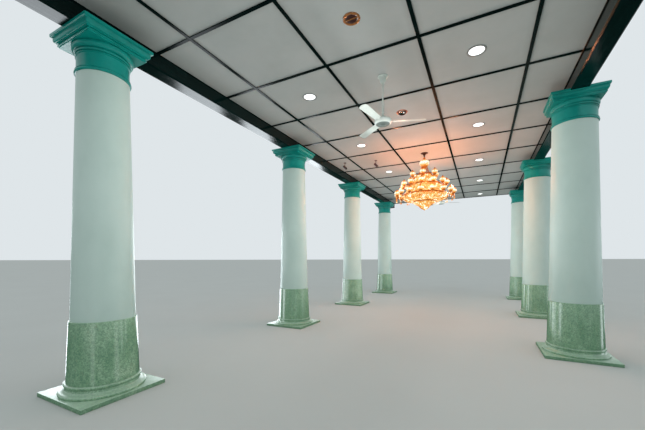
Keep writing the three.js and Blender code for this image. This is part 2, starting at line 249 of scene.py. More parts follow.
for number, (across, along, power) in enumerate(side_panels, 1):
    place, aim = (across, along, side_panel_height), (0, along, side_panel_height)
    side_panel = soft_panel(f"panel_side_{number}", place, aim, side_panel_size, power)
    side_panel.visible_diffuse = False
    side_panel.data.color = side_panel_colour
for number, (across, along, width, power) in enumerate(glint_panels, 1):
    place, aim = (across, along, 0), (glint_panel_aim, along, 0)
    size = (width, glint_panel_height)
    glint_panel = soft_panel(f"panel_glint_{number}", place, aim, size, power)
    glint_panel.visible_diffuse = False
far_aim = (far_panel_place[0], 0, far_panel_place[2])
far_panel = soft_panel("panel_far", far_panel_place, far_aim, far_panel_size, far_panel_power)
far_panel.visible_diffuse = False
for name, side in (("left", -1), ("right", 1)):
    place, aim = (side * nave_panel_side, 0, nave_panel_height), (0, 0, nave_panel_height)
    nave_panel = soft_panel(f"panel_nave_{name}", place, aim, nave_panel_size, nave_panel_power)
    nave_panel.visible_glossy = False
    place, aim = (side * lamp_row_side, 0, lamp_row_height), (side * lamp_row_side, 0, 0)
    lamp_row = soft_panel(f"panel_lamps_{name}", place, aim, lamp_row_size, lamp_row_power)
    lamp_row.visible_glossy = False
low_panel = soft_panel("panel_low", low_panel_place, low_panel_aim, low_panel_size, low_panel_power)
low_panel.visible_glossy = False

# Column bases
# A square slab of green marble carries a turned base of the same stone: a round toe, a hollow,
# and a thin ring under the drum. It is polished, with the arrises of the slab just taken off.
column_rows = {"left": -2.54, "right": 2.54}
column_places = [-5.46, -1.46, 2.12, 5.96]
slab_half = 0.44
slab_height = 0.045
slab_arris = 0.003
base_top = 0.165
base_sunk = 0.002
turning_steps = 72
merging_distance = 5e-6


def arc(middle, reach, start, end, count):
    """Points (radius, height) along a round moulding, between two angles in degrees."""
    angles = [math.radians(start + (end - start) * step / count) for step in range(count + 1)]
    return [(middle[0] + reach[0] * math.cos(a), middle[1] + reach[1] * math.sin(a)) for a in angles]


def turn(shape, profile, steps=turning_steps, start=0.0, middle=(0, 0)):
    """Turns a profile of (radius, height) points round an upright axis."""
    across, along = math.cos(start), math.sin(start)
    ring = [
        shape.verts.new((middle[0] + radius * across, middle[1] + radius * along, height))
        for radius, height in profile
    ]
    edges = [shape.edges.new(pair) for pair in zip(ring, ring[1:])]
    bmesh.ops.spin(
        shape, geom=ring + edges, cent=(*middle, 0), axis=(0, 0, 1), dvec=(0, 0, 0),
        angle=2 * math.pi, steps=steps, use_merge=True, use_duplicate=False,
    )
    bmesh.ops.remove_doubles(shape, verts=shape.verts, dist=merging_distance)


def add_block(shape, low, high, arris=0.0, segments=2):
    """A block between two corners, with its edges rounded by an arris."""
    low, high = Vector(low), Vector(high)
    corners = bmesh.ops.create_cube(shape, size=1.0)["verts"]
    bmesh.ops.scale(shape, vec=high - low, verts=corners)
    bmesh.ops.translate(shape, vec=(low + high) / 2, verts=corners)
    if arris:
        edges = list({edge for corner in corners for edge in corner.link_edges})
        bmesh.ops.bevel(
            shape, geom=edges, offset=arris, segments=segments, profile=0.5, affect="EDGES", material=-1,
        )


def finish_mesh(shape, name, sharp=32):
    """A mesh with its faces outwards, smooth except at edges sharper than an angle."""
    bmesh.ops.recalc_face_normals(shape, faces=shape.faces)
    data = bpy.data.meshes.new(name)
    shape.to_mesh(data)
    shape.free()
    data.shade_smooth()
    data.set_sharp_from_angle(angle=math.radians(sharp))
    return data


def set_piece(name, data, finish, body="colonnade", stands_for=()):
    """Puts a finished mesh in its place on the part."""
    data.materials.append(finish)
    piece = bpy.data.objects.new(name, data)
    bpy.context.scene.collection.objects.link(piece)
    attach(piece, body)
    if stands_for:
        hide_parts(*stands_for)
    return piece


def set_on_row(row, part, data, finish):
    """The same part of each column of a row, in place of the node of its name."""
    for number, along in enumerate(column_places, 1):
        node = f"{row}_column_{number}_{part}"
        copy = data.copy()
        copy.transform(Matrix.Translation((column_rows[row], along, 0)))
        set_piece(f"{node}_finish", copy, finish, stands_for=(node,))


def parts_of(tree, vector):
    """The three numbers of a vector."""
    node = tree.nodes.new("ShaderNodeSeparateXYZ")
    tree.links.new(vector, node.inputs["Vector"])
    return node.outputs["X"], node.outputs["Y"], node.outputs["Z"]


green_marble, tree, shader = new_finish("green_marble")
cloud = mottle(tree, place_on_part(tree, (1, 1, 0.55)), 3.2, 8, 0.6, 0.8)
streak = mottle(tree, place_on_part(tree, (7, 7, 0.9)), 2.4, 5, 0.6)
grain = mottle(tree, place_on_part(tree), 75, 3, 0.7)
fleck = mottle(tree, place_on_part(tree), 38, 2, 0.5)
blotch = mottle(tree, place_on_part(tree, (1, 1, 0.7)), 36, 5, 0.75, 0.4)
stone = colour_steps(tree, cloud, [
    (0.28, (0.165, 0.320, 0.188)),
    (0.46, (0.252, 0.438, 0.262)),
    (0.60, (0.350, 0.536, 0.346)),
    (0.78, (0.500, 0.660, 0.460)),
])
stone = lay_over(tree, spread(tree, streak, -0.30, 0.60), stone, (0.46, 0.62, 0.46))
stone = lay_over(tree, grey_steps(tree, blotch, [(0.38, 0.5), (0.56, 0)]), stone, (0.085, 0.195, 0.120))
stone = lay_over(tree, grey_steps(tree, fleck, [(0.60, 0), (0.72, 0.4)]), stone, (0.22, 0.21, 0.13))
stone = lay_over(tree, grey_steps(tree, grain, [(0.38, 0.75), (0.60, 0)]), stone, (0.10, 0.22, 0.14))
_, _, facing_up = parts_of(tree, tree.nodes.new("ShaderNodeTexCoord").outputs["Normal"])
_, _, height = parts_of(tree, place_on_part(tree))
upper_face = number_step(tree, "GREATER_THAN", facing_up, 0.55)
sawn_and_shaded_side = number_step(
    tree, "MULTIPLY", number_step(tree, "LESS_THAN", height, slab_height - 0.002),
    number_step(tree, "LESS_THAN", facing_up, 0.3),
)
# Painted reflection: the upper faces are painted paler, for the bright surroundings that they reflect.
stone = lay_over(tree, number_step(tree, "MULTIPLY", upper_face, 0.30), stone, (0.50, 0.64, 0.52))
# Painted shade: the slab's sides are painted darker, for the shade on them; they are also left
# unpolished, which sets their gloss below.
stone = lay_over(tree, number_step(tree, "MULTIPLY", sawn_and_shaded_side, 0.30), stone, (0.050, 0.110, 0.070))
tree.links.new(stone, shader.inputs["Base Color"])
unpolished = number_step(tree, "MULTIPLY", sawn_and_shaded_side, 0.4)
trodden = number_step(tree, "MULTIPLY", upper_face, 0.20)
dullness = number_step(tree, "ADD", unpolished, trodden)
polish = spread(tree, cloud, 0.10, 0.32)
tree.links.new(number_step(tree, "ADD", polish, dullness), shader.inputs["Roughness"])
tree.links.new(number_step(tree, "SUBTRACT", 0.5, unpolished), shader.inputs["Specular IOR Level"])
polished = number_step(tree, "SUBTRACT", 1, number_step(tree, "MAXIMUM", sawn_and_shaded_side, upper_face))
tree.links.new(number_step(tree, "MULTIPLY", polished, 0.15), shader.inputs["Coat Weight"])
shader.inputs["Coat Roughness"].default_value = 0.06
relief(tree, shader, grain, 0.0004, 0.35)

base = bmesh.new()
add_block(base, (-slab_half, -slab_half, 0), (slab_half, slab_half, slab_height), slab_arris)
toe = arc((0.392, slab_height + 0.015), (0.022, 0.019), -45, 66, 8)
hollow = arc((0.400, 0.124), (-0.050, -0.045), 88, 0, 9)
under_ring = arc((0.352, 0.1460), (0.0145, 0.0165), -88, 84, 9)
turn(base, [
    (0, slab_height - base_sunk),
    (0.4085, slab_height - base_sunk),
    *toe,
    *hollow,
    *under_ring,
    (0.3475, base_top - 0.002),
    (0.3475, base_top),
    (0, base_top),
])
base_data = finish_mesh(base, "column_base")
for row in column_rows:
    set_on_row(row, "base", base_data, green_marble)

# Column drums
# A tall polished drum of the same marble stands on the base. It narrows a little upwards and
# ends in a narrow ledge round the foot of the painted shaft. The right row is the stouter.
drum_foot_radius = {"left": 0.344, "right": 0.352}
drum_head_radius = {"left": 0.320, "right": 0.336}
drum_top = 0.816
for row in column_rows:
    drum = bmesh.new()
    turn(drum, [
        (0, base_top),
        (drum_foot_radius[row] - 0.002, base_top),
        (drum_foot_radius[row], base_top + 0.002),
        *arc((drum_head_radius[row] - 0.0065, drum_top - 0.007), (0.0065, 0.007), 0, 90, 4),
        (0, drum_top),
    ])
    set_on_row(row, "drum", finish_mesh(drum, f"{row}_drum"), green_marble)

# Column shafts
# Plastered masonry under pale mint oil paint, rolled on, so that it has a faint orange-peel
# surface and soft clouds where the coats overlap. The shafts of the right row are the taller by
# the depth that their beam is let into the capitals.
shaft_tops = {"left": 3.483, "right": 3.513}
shaft_foot_radius = {"left": 0.309, "right": 0.325}
shaft_middle_radius = {"left": 0.278, "right": 0.300}
shaft_head_radius = {"left": 0.252, "right": 0.281}
mint_paint, tree, shader = new_finish("mint_paint")
coat = mottle(tree, place_on_part(tree, (1, 1, 0.6)), 2.1, 5, 0.55)
trowel = mottle(tree, place_on_part(tree, (1, 1, 0.7)), 9, 4, 0.5)
peel = mottle(tree, place_on_part(tree), 240, 2, 0.5)
paint = colour_steps(tree, coat, [
    (0.30, (0.500, 0.638, 0.582)),
    (0.50, (0.543, 0.680, 0.624)),
    (0.75, (0.586, 0.718, 0.662)),
])
tree.links.new(paint, shader.inputs["Base Color"])
tree.links.new(spread(tree, coat, 0.34, 0.52), shader.inputs["Roughness"])
relief(tree, shader, lay_over(tree, 0.25, trowel, peel), 0.0022, 0.45)

for row, shaft_top in shaft_tops.items():
    shaft = bmesh.new()
    turn(shaft, [
        (0, drum_top),
        (shaft_foot_radius[row] - 0.002, drum_top),
        (shaft_foot_radius[row], drum_top + 0.004),
        (shaft_middle_radius[row], 2.25),
        (shaft_head_radius[row], shaft_top),
        (0, shaft_top),
    ])
    set_on_row(row, "shaft", finish_mesh(shaft, f"{row}_shaft"), mint_paint)

# Capitals
# Run plaster under jade gloss paint: a ring and fillet at the neck, a plain neck, a fillet and
# a round bell, and a square moulded abacus. The left row carries its beam on the flat top, and
# the right row has it let in by 30 mm.
capital_height = 0.437
abacus_height = 0.135
abacus_half = {"left": 0.360, "right": 0.346}
abacus_overhang = {"left": 0.060, "right": 0.042}
abacus_corner = 0.009
neck_radius = {"left": 0.251, "right": 0.279}
bell_radius = {"left": 0.2915, "right": 0.3025}
beam_half = 0.11
beam_soffit = 3.92
beam_play = 0.0003
on_plane = 1e-5
jade_paint, tree, shader = new_finish("jade_paint")
coat = mottle(tree, place_on_part(tree), 4.5, 5, 0.6)
brush = mottle(tree, place_on_part(tree, (1, 1, 6)), 22, 3, 0.5)
dust = mottle(tree, place_on_part(tree), 60, 3, 0.6)
paint = colour_steps(tree, coat, [
    (0.30, (0.001, 0.242, 0.204)),
    (0.55, (0.001, 0.296, 0.252)),
    (0.80, (0.006, 0.356, 0.304)),
])
paint = lay_over(tree, grey_steps(tree, dust, [(0.58, 0), (0.85, 0.12)]), paint, (0.18, 0.34, 0.29))
tree.links.new(paint, shader.inputs["Base Color"])
tree.links.new(spread(tree, coat, 0.26, 0.42), shader.inputs["Roughness"])
shader.inputs["Specular IOR Level"].default_value = 0.4
relief(tree, shader, lay_over(tree, 0.5, brush, dust), 0.0012, 0.4)


def cut_plane(shape, point, facing):
    """A cut right through the shape, which leaves both sides."""
    everything = list(shape.verts) + list(shape.edges) + list(shape.faces)
    bmesh.ops.bisect_plane(shape, geom=everything, dist=1e-6, plane_co=point, plane_no=facing)


def close_loop(shape, fits):
    """One face over the open edges whose two ends pass a test."""
    open_edges = [edge for edge in shape.edges if len(edge.link_faces) < 2]
    rim = [edge for edge in open_edges if all(fits(vert.co) for vert in edge.verts)]
    bmesh.ops.contextual_create(shape, geom=rim)


def run_capital(row):
    """A capital of a row: neck, bell and abacus."""
    capital = bmesh.new()
    foot = shaft_tops[row]
    under = foot + capital_height - abacus_height
    top = foot + capital_height
    hollow = arc((0.10, 0.086), (0.36, 0.019), 0, 90, 6)
    mouldings = [
        (1.00, 0), (1.00, 0.010), (0.83, 0.012), (0.83, 0.023), (1.00, 0.026), (1.00, 0.036),
        (0.72, 0.038), (0.72, 0.048), (0.54, 0.049), (0.42, 0.055), (0.35, 0.066), (0.33, 0.083),
        *hollow, (0.00, 0.107),
    ]
    abacus_profile = [
        (abacus_half[row] - share * abacus_overhang[row], under + rise) for share, rise in mouldings
    ]
    abacus_profile += [(abacus_half[row], top - 0.003), (abacus_half[row] - 0.003, top)]
    corners = [(half * math.sqrt(2), height) for half, height in abacus_profile]
    turn(capital, [(0, under), *corners, (0, top)], steps=4, start=math.radians(45))
    ease_corners(capital, abacus_corner)
    if top > beam_soffit + 0.001:
        let_in_beam(capital, top)
    neck, bell = neck_radius[row], bell_radius[row]
    turn(capital, [
        (0, foot),
        *arc((neck + 0.006, foot + 0.016), (0.0125, 0.0155), -90, 90, 8),
        (neck + 0.007, foot + 0.034),
        (neck + 0.012, foot + 0.036),
        (neck + 0.012, foot + 0.043),
        *arc((neck + 0.0115, foot + 0.054), (-0.012, -0.010), 90, 0, 4),
        (neck - 0.0005, foot + 0.187),
        (neck + 0.0080, foot + 0.190),
        (neck + 0.0080, foot + 0.197),
        (neck - 0.0030, foot + 0.199),
        (neck - 0.0030, foot + 0.208),
        (neck + 0.0120, foot + 0.210),
        (neck + 0.0140, foot + 0.226),
        (neck + 0.0010, foot + 0.229),
        (neck + 0.0010, foot + 0.239),
        *arc((neck + 0.012, foot + 0.274), (bell - neck - 0.012, 0.034), -84, 0, 8),
        (bell, foot + 0.285),
        (bell - 0.010, foot + 0.289),
        (bell - 0.010, under + 0.002),
        (0, under + 0.002),
    ])
    return capital


def ease_corners(shape, width):
    """Rounds the upright corners of a square moulded form, where its mouldings meet."""
    mitres = []
    for edge in shape.edges:
        middle = (edge.verts[0].co + edge.verts[1].co) / 2
        on_corner = abs(abs(middle.x) - abs(middle.y)) < on_plane
        if on_corner and all(vert.co.xy.length > 0.1 for vert in edge.verts):
            mitres.append(edge)
    bmesh.ops.bevel(
        shape, geom=mitres, offset=width, segments=3, profile=0.5, affect="EDGES", material=-1,
        loop_slide=True,
    )


def let_in_beam(capital, top):
    """A notch across the top of the capital, as deep as the beam is let in."""
    notch_half = beam_half + beam_play
    for side in (-1, 1):
        cut_plane(capital, (side * notch_half, 0, 0), (1, 0, 0))
    cut_plane(capital, (0, 0, beam_soffit), (0, 0, 1))
    in_notch = []
    for face in capital.faces:
        middle = face.calc_center_median()
        if abs(middle.x) < notch_half and middle.z > beam_soffit:
            in_notch.append(face)
    bmesh.ops.delete(capital, geom=in_notch, context="FACES")
    for side in (-1, 1):
        corners = []
        for vert in capital.verts:
            off_side = abs(vert.co.x - side * notch_half)
            if max(off_side, abs(vert.co.z - beam_soffit)) < on_plane:
                corners.append(vert)
        bmesh.ops.contextual_create(capital, geom=corners)
        close_loop(capital, lambda place, x=side * notch_half: abs(place.x - x) < on_plane)
    close_loop(capital, lambda place: abs(place.z - beam_soffit) < on_plane)


for row in column_rows:
    capital_data = finish_mesh(run_capital(row), f"{row}_capital", 26)
    set_on_row(row, "capital", capital_data, jade_paint)

# Beams
# One long timber on each row, in near-black green gloss enamel brushed along its length. The
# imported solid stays, and its arrises are eased by a plane's width.
beam_easing = 0.0025
dark_gloss_paint, tree, shader = new_finish("dark_gloss_paint")
coat = mottle(tree, place_on_part(tree, (1, 0.25, 1)), 5, 5, 0.6)
brush = mottle(tree, place_on_part(tree, (24, 0.5, 24)), 1.6, 4, 0.6)
paint = colour_steps(tree, coat, [
    (0.30, (0.0006, 0.0065, 0.0060)),
    (0.60, (0.0011, 0.0110, 0.0100)),
    (0.85, (0.0028, 0.0190, 0.0175)),
])
tree.links.new(paint, shader.inputs["Base Color"])
tree.links.new(spread(tree, coat, 0.10, 0.20), shader.inputs["Roughness"])
shader.inputs["Specular IOR Level"].default_value = 0.17
relief(tree, shader, brush, 0.0016, 0.7)
for node in ("left_beam", "right_beam"):
    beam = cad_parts[node]
    beam.data.materials.clear()
    beam.data.materials.append(dark_gloss_paint)
    easing = beam.modifiers.new("easing", "BEVEL")
    easing.width = beam_easing
    easing.segments = 2
    easing.limit_method = "ANGLE"

# Ceiling boards
# Painted boards, one to each opening of the batten grid, screwed up to the joists. Every board
# took the paint a little differently, dirt and a painted shade darken them along the battens,
# and the backs are bare.
board_pitch = 1.22
boards_along = 12
board_strips = ["far_left", "left", "middle", "right", "far_right"]
ceiling_height = 4.12
board_thickness = 0.012
board_paint, tree, shader = new_finish("board_paint")


def vector_step(tree, how, first, second=None):
    """One step of arithmetic on places."""
    node = tree.nodes.new("ShaderNodeVectorMath")
    node.operation = how
    tree.links.new(first, node.inputs[0])
    if second is not None:
        node.inputs[1].default_value = second
    return node.outputs["Vector"]


per_board = (1 / board_pitch, 1 / board_pitch, 1)
in_boards = vector_step(tree, "ADD", place_on_part(tree, per_board), (0.5, 0, 0))
tone = tree.nodes.new("ShaderNodeTexWhiteNoise")
tree.links.new(vector_step(tree, "FLOOR", in_boards), tone.inputs["Vector"])
off_middle = vector_step(tree, "SUBTRACT", vector_step(tree, "FRACTION", in_boards), (0.5, 0.5, 0.5))
across, along, _ = parts_of(tree, vector_step(tree, "ABSOLUTE", off_middle))
to_joint = number_step(tree, "MAXIMUM", across, along)
cloud = mottle(tree, place_on_part(tree), 1.3, 5, 0.6)
stipple = mottle(tree, place_on_part(tree), 160, 2, 0.6)
paint = colour_steps(tree, cloud, [
    (0.30, (0.395, 0.415, 0.400)),
    (0.50, (0.430, 0.450, 0.435)),
    (0.75, (0.465, 0.480, 0.465)),
])
paint = lay_over(tree, spread(tree, tone.outputs["Value"], 0, 0.16), paint, (0.34, 0.36, 0.345))
# Dirt and painted shade: the boards are painted darker near their edges along the battens.
batten_dirt_and_shade = number_step(tree, "MULTIPLY", grey_steps(tree, to_joint, [(0.42, 0), (0.49, 0.55)]), cloud)
paint = lay_over(tree, batten_dirt_and_shade, paint, (0.22, 0.23, 0.215))
bare_back = colour_steps(tree, mottle(tree, place_on_part(tree), 30, 5, 0.7), [
    (0.3, (0.24, 0.20, 0.15)),
    (0.7, (0.36, 0.31, 0.24)),
])
in_joint = grey_steps(tree, to_joint, [(0.497, 0), (0.4985, 0.9)])
bare_back = lay_over(tree, in_joint, bare_back, (0.04, 0.035, 0.03))
facing = tree.nodes.new("ShaderNodeTexCoord").outputs["Normal"]
faces_up = number_step(tree, "GREATER_THAN", parts_of(tree, facing)[2], 0.5)
tree.links.new(lay_over(tree, faces_up, paint, bare_back), shader.inputs["Base Color"])
shader.inputs["Roughness"].default_value = 0.62
shader.inputs["Specular IOR Level"].default_value = 0.3
relief(tree, shader, lay_over(tree, 0.3, cloud, stipple), 0.002, 0.3)
for strip in board_strips:
    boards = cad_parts[f"ceiling_boards_{strip}"]
    boards.data.materials.clear()
    boards.data.materials.append(board_paint)

# Cover battens
# Planed laths under the board joints: four long ones run through, short ones butt between them,
# and a bead closes the joint along each beam. They are screwed up and painted like the beams.
nave_half = 2.43
field_half = boards_along * board_pitch / 2
batten_half = 0.021
batten_depth = 0.012
batten_arris = 0.002
bead_width = 0.012
screws_to_board = 3
cross_screw_shares = (0.08, 0.36, 0.64, 0.92)
batten_joint = 0.0006
screw_radius = 0.0045
screw_depth = 0.0016
batten_bottom = ceiling_height - batten_depth
long_lines = [(step - 1.5) * board_pitch for step in range(4)]
batten_paint, tree, shader = new_finish("batten_paint")
coat = mottle(tree, place_on_part(tree), 9, 4, 0.6)
tree.links.new(colour_steps(tree, coat, [
    (0.3, (0.0010, 0.0045, 0.0040)),
    (0.7, (0.0018, 0.0095, 0.0085)),
]), shader.inputs["Base Color"])
tree.links.new(spread(tree, coat, 0.12, 0.22), shader.inputs["Roughness"])
shader.inputs["Specular IOR Level"].default_value = 0.04
relief(tree, shader, coat, 0.0005, 0.2)
battens = bmesh.new()
for line in long_lines:
    add_block(
        battens, (line - batten_half, -field_half, batten_bottom),
        (line + batten_half, field_half, ceiling_height), batten_arris, 1,
    )
for side in (-1, 1):
    edges = sorted((side * nave_half, side * (nave_half - bead_width)))
    add_block(
        battens, (edges[0], -field_half, batten_bottom),
        (edges[1], field_half, ceiling_height), batten_arris, 1,
    )
openings = [-nave_half + bead_width - batten_half, *long_lines, nave_half - bead_width + batten_half]
cross_lines = []
for number in range(boards_along + 1):
    line = number * board_pitch - field_half
    line = max(batten_half - field_half, min(field_half - batten_half, line))
    cross_lines.append(line)
for line in cross_lines:
    for start, end in zip(openings, openings[1:]):
        add_block(
            battens, (start + batten_half + batten_joint, line - batten_half, batten_bottom),
            (end - batten_half - batten_joint, line + batten_half, ceiling_height), batten_arris, 1,
        )


def add_screw(shape, x, y, height, up=False):
    """The domed head of a screw, seen from below, or from above."""
    radii = (screw_radius, screw_radius * 0.55) if up else (screw_radius * 0.55, screw_radius)
    bmesh.ops.create_cone(
        shape, cap_ends=True, segments=8, radius1=radii[0], radius2=radii[1],
        depth=screw_depth, matrix=Matrix.Translation((x, y, height)),
    )


for line in long_lines:
    for number in range(boards_along * screws_to_board):
        along = (number + 0.5) * board_pitch / screws_to_board - field_half
        add_screw(battens, line, along, batten_bottom)
for line in cross_lines:
    for start, end in zip(openings, openings[1:]):
        for share in cross_screw_shares:
            add_screw(battens, start + (end - start) * share, line, batten_bottom)
set_piece(
    "cover_battens_finish", finish_mesh(battens, "cover_battens"), batten_paint,
    stands_for=("cover_battens",),
)

# Recessed lights
# Twelve white lamps in two rows: a pressed rim, screwed up through its flange, holds a
# milky disc level with the ceiling. The rim's grey enamel is painted darker than the boards,
# a painted shade.
lamp_rows = [-0.5, 1.5, 3.5, 5.5, 7.5, 9.5]
lamp_places = [(side * board_pitch, (row - 4) * board_pitch) for side in (-1, 1) for row in lamp_rows]
lamp_rim_radius = 0.1168
lamp_lens_radius = 0.0943
rim_edge = 0.0035
rim_face = 0.0058
lens_top = 0.0026


def pressed_rim(shape, outer, inner, middle):
    """A flat ring pressed round a light, with both edges rolled up to the boards."""
    turn(shape, [
        (outer, ceiling_height + 0.0005),
        (outer, ceiling_height - rim_edge),
        (outer - 0.0012, ceiling_height - 0.0052),
        (outer - 0.0040, ceiling_height - rim_face),
        (inner + 0.0050, ceiling_height - rim_face),
        (inner + 0.0014, ceiling_height - 0.0050),
        (inner, ceiling_height - rim_edge),
        (inner, ceiling_height + lens_top),
        (outer, ceiling_height + 0.0005),
    ], steps=40, middle=middle)


def milky_disc(shape, radius, middle):
    """A disc that bellies a little below the boards."""
    turn(shape, [
        (0, ceiling_height - 0.0020),
        (0.42 * radius, ceiling_height - 0.0017),
        (0.78 * radius, ceiling_height - 0.0004),
        (radius, ceiling_height + 0.0014),
        (radius, ceiling_height + lens_top),
        (0, ceiling_height + lens_top),
    ], steps=40, middle=middle)


def set_glow(data, rule):
    """Stores on each point of a mesh how strongly it glows, by a rule on its place; on the fans the same
    number sets a painted shade.
    """
    glow = data.attributes.new("glow", "FLOAT", "POINT")
    for vert, stored in zip(data.vertices, glow.data):
        stored.value = rule(vert.co)


def glow_of(tree):
    """The stored glow, in a material."""
    node = tree.nodes.new("ShaderNodeAttribute")
    node.attribute_name = "glow"
    return node.outputs["Fac"]


def nearest_reach(place, middles):
    """How far a place lies from the nearest of some axes."""
    return min(math.hypot(place.x - x, place.y - y) for x, y in middles)


def sprayed_coat(name, grain, darker, lighter, roughness, metallic=0.0):
    """Enamel or lacquer sprayed on metal, a little uneven in its colour and gloss."""
    material, tree, shader = new_finish(name)
    coat = mottle(tree, place_on_part(tree), grain, 4, 0.6)
    tones = colour_steps(tree, coat, [(0.3, darker), (0.7, lighter)])
    tree.links.new(tones, shader.inputs["Base Color"])
    tree.links.new(spread(tree, coat, *roughness), shader.inputs["Roughness"])
    shader.inputs["Metallic"].default_value = metallic
    relief(tree, shader, coat, 0.0004, 0.3)
    return material


# Painted shade: the rims are given a darker grey than the boards, for the shade on them.
grey_enamel = sprayed_coat(
    "grey_enamel", 30, (0.20, 0.215, 0.205), (0.27, 0.285, 0.275), (0.42, 0.42),
)

opal_glass, tree, shader = new_finish("opal_glass")
cloud = mottle(tree, place_on_part(tree), 18, 3, 0.5)
milk = colour_steps(tree, cloud, [(0.3, (0.93, 0.97, 1.0)), (0.7, (1.0, 1.0, 0.98))])
tree.links.new(milk, shader.inputs["Base Color"])
tree.links.new(milk, shader.inputs["Emission Color"])
tree.links.new(spread(tree, glow_of(tree), 1.3, 2.6), shader.inputs["Emission Strength"])
shader.inputs["Roughness"].default_value = 0.25

rims = bmesh.new()
lenses = bmesh.new()
for middle in lamp_places:
    pressed_rim(rims, lamp_rim_radius, lamp_lens_radius, middle)
    milky_disc(lenses, lamp_lens_radius - 0.0005, middle)
    for quarter in range(3):
        angle = math.radians(120 * quarter + 30)
        reach = (lamp_rim_radius + lamp_lens_radius) / 2
        add_screw(
            rims, middle[0] + reach * math.cos(angle), middle[1] + reach * math.sin(angle),
            ceiling_height - rim_face,
        )
set_piece("lamp_rims", finish_mesh(rims, "lamp_rims"), grey_enamel)
lens_data = finish_mesh(lenses, "lamp_lenses")
set_glow(lens_data, lambda place: 1 - nearest_reach(place, lamp_places) / lamp_lens_radius)
set_piece("lamp_lenses", lens_data, opal_glass)

# Amber lamp
# The first lamp of the middle strip: an amber glass ring in the rim, round a dark dished plate
# in two halves, each pierced by three slots that show the dark inside.
amber_lamp_place = (0, -3.5 * board_pitch)
small_rim_radius = 0.0988
small_lens_radius = 0.0770
amber_glass, tree, shader = new_finish("amber_glass")
cloud = mottle(tree, place_on_part(tree), 25, 4, 0.6)
warm = colour_steps(tree, cloud, [(0.3, (0.22, 0.080, 0.022)), (0.7, (0.30, 0.115, 0.034))])
tree.links.new(warm, shader.inputs["Base Color"])
tree.links.new(warm, shader.inputs["Emission Color"])
# Painted glow: a weak glow of its own colour brightens the amber glass.
shader.inputs["Emission Strength"].default_value = 0.12
shader.inputs["Roughness"].default_value = 0.2
shader.inputs["Coat Weight"].default_value = 0.5
relief(tree, shader, cloud, 0.0005, 0.3)

dark_brown_enamel = sprayed_coat(
    "dark_brown_enamel", 60, (0.040, 0.012, 0.010), (0.085, 0.026, 0.022), (0.22, 0.40),
)

amber_ring = bmesh.new()
turn(amber_ring, [
    (small_rim_radius, ceiling_height + 0.0005),
    (small_rim_radius, ceiling_height - 0.0030),
    (small_rim_radius - 0.004, ceiling_height - 0.0062),
    (0.088, ceiling_height - 0.0085),
    (0.079, ceiling_height - 0.0088),
    (0.072, ceiling_height - 0.0070),
    (0.0660, ceiling_height - 0.0040),
    (0.0660, ceiling_height + 0.0020),
    (small_lens_radius - 0.001, ceiling_height + 0.0026),
    (small_rim_radius, ceiling_height + 0.0005),
], steps=48, middle=amber_lamp_place)
add_block(
    amber_ring, (-0.0670, amber_lamp_place[1] - 0.0060, ceiling_height - 0.0065),
    (0.0670, amber_lamp_place[1] + 0.0060, ceiling_height - 0.0025), 0.0012,
)
set_piece("amber_lamp_ring", finish_mesh(amber_ring, "amber_lamp_ring"), amber_glass)

dark_plate = bmesh.new()
turn(dark_plate, [
    (0, ceiling_height + 0.0006),
    (0.040, ceiling_height - 0.0002),
    (0.0655, ceiling_height - 0.0036),
    (0.0655, ceiling_height - 0.0016),
    (0.040, ceiling_height + 0.0016),
    (0, ceiling_height + 0.0024),
], steps=48, middle=amber_lamp_place)
for side in (-1, 1):
    for number, half_length in enumerate((0.056, 0.047, 0.031)):
        line = amber_lamp_place[1] + side * (0.0185 + 0.0152 * number)
        add_block(
            dark_plate, (-half_length, line - 0.0045, ceiling_height - 0.0040),
            (half_length, line + 0.0045, ceiling_height + 0.0002), 0.0012,
        )
set_piece(
    "amber_lamp_plate", finish_mesh(dark_plate, "amber_lamp_plate"), dark_brown_enamel,
)

# Swivelling eye
# The second lamp of the middle strip: an orange rim holds a dark ball that is cut off flat, with
# a bright reflector and a clear lens in its mouth, tilted towards the chandelier.
eye_place = Vector((0, -1.5 * board_pitch, ceiling_height))
eye_tilt = math.radians(-14)
orange_enamel = sprayed_coat(
    "orange_enamel", 40, (0.33, 0.085, 0.035), (0.48, 0.135, 0.060), (0.30, 0.30),
)

eye_rim = bmesh.new()
turn(eye_rim, [
    (small_rim_radius, ceiling_height + 0.0005),
    (small_rim_radius, ceiling_height - rim_edge),
    (small_rim_radius - 0.0020, ceiling_height - 0.0066),
    (small_lens_radius + 0.0040, ceiling_height - 0.0076),
    (small_lens_radius, ceiling_height - 0.0050),
    (small_lens_radius - 0.0010, ceiling_height + 0.0024),
    (small_rim_radius, ceiling_height + 0.0005),
], steps=48, middle=(eye_place.x, eye_place.y))
set_piece("eye_rim", finish_mesh(eye_rim, "eye_rim"), orange_enamel)

ball_radius = 0.0735
mouth_depth = 0.017
mouth_angle = math.asin(mouth_depth / ball_radius)
mouth_radius = ball_radius * math.cos(mouth_angle)
eye_seat = Matrix.Translation(eye_place + Vector((0, 0, 0.0020))) @ Matrix.Rotation(eye_tilt, 4, "X")
ball_outside = arc((0, 0), (ball_radius, ball_radius), -math.degrees(mouth_angle), 90, 10)
eye_ball = bmesh.new()
turn(eye_ball, [
    (0, -0.0040),
    (mouth_radius - 0.014, -0.0040),
    (mouth_radius - 0.009, -mouth_depth - 0.0006),
    (mouth_radius - 0.002, -mouth_depth - 0.0008),
    *ball_outside,
], steps=48)
bmesh.ops.transform(eye_ball, matrix=eye_seat, verts=eye_ball.verts)
set_piece("eye_ball", finish_mesh(eye_ball, "eye_ball"), dark_brown_enamel)

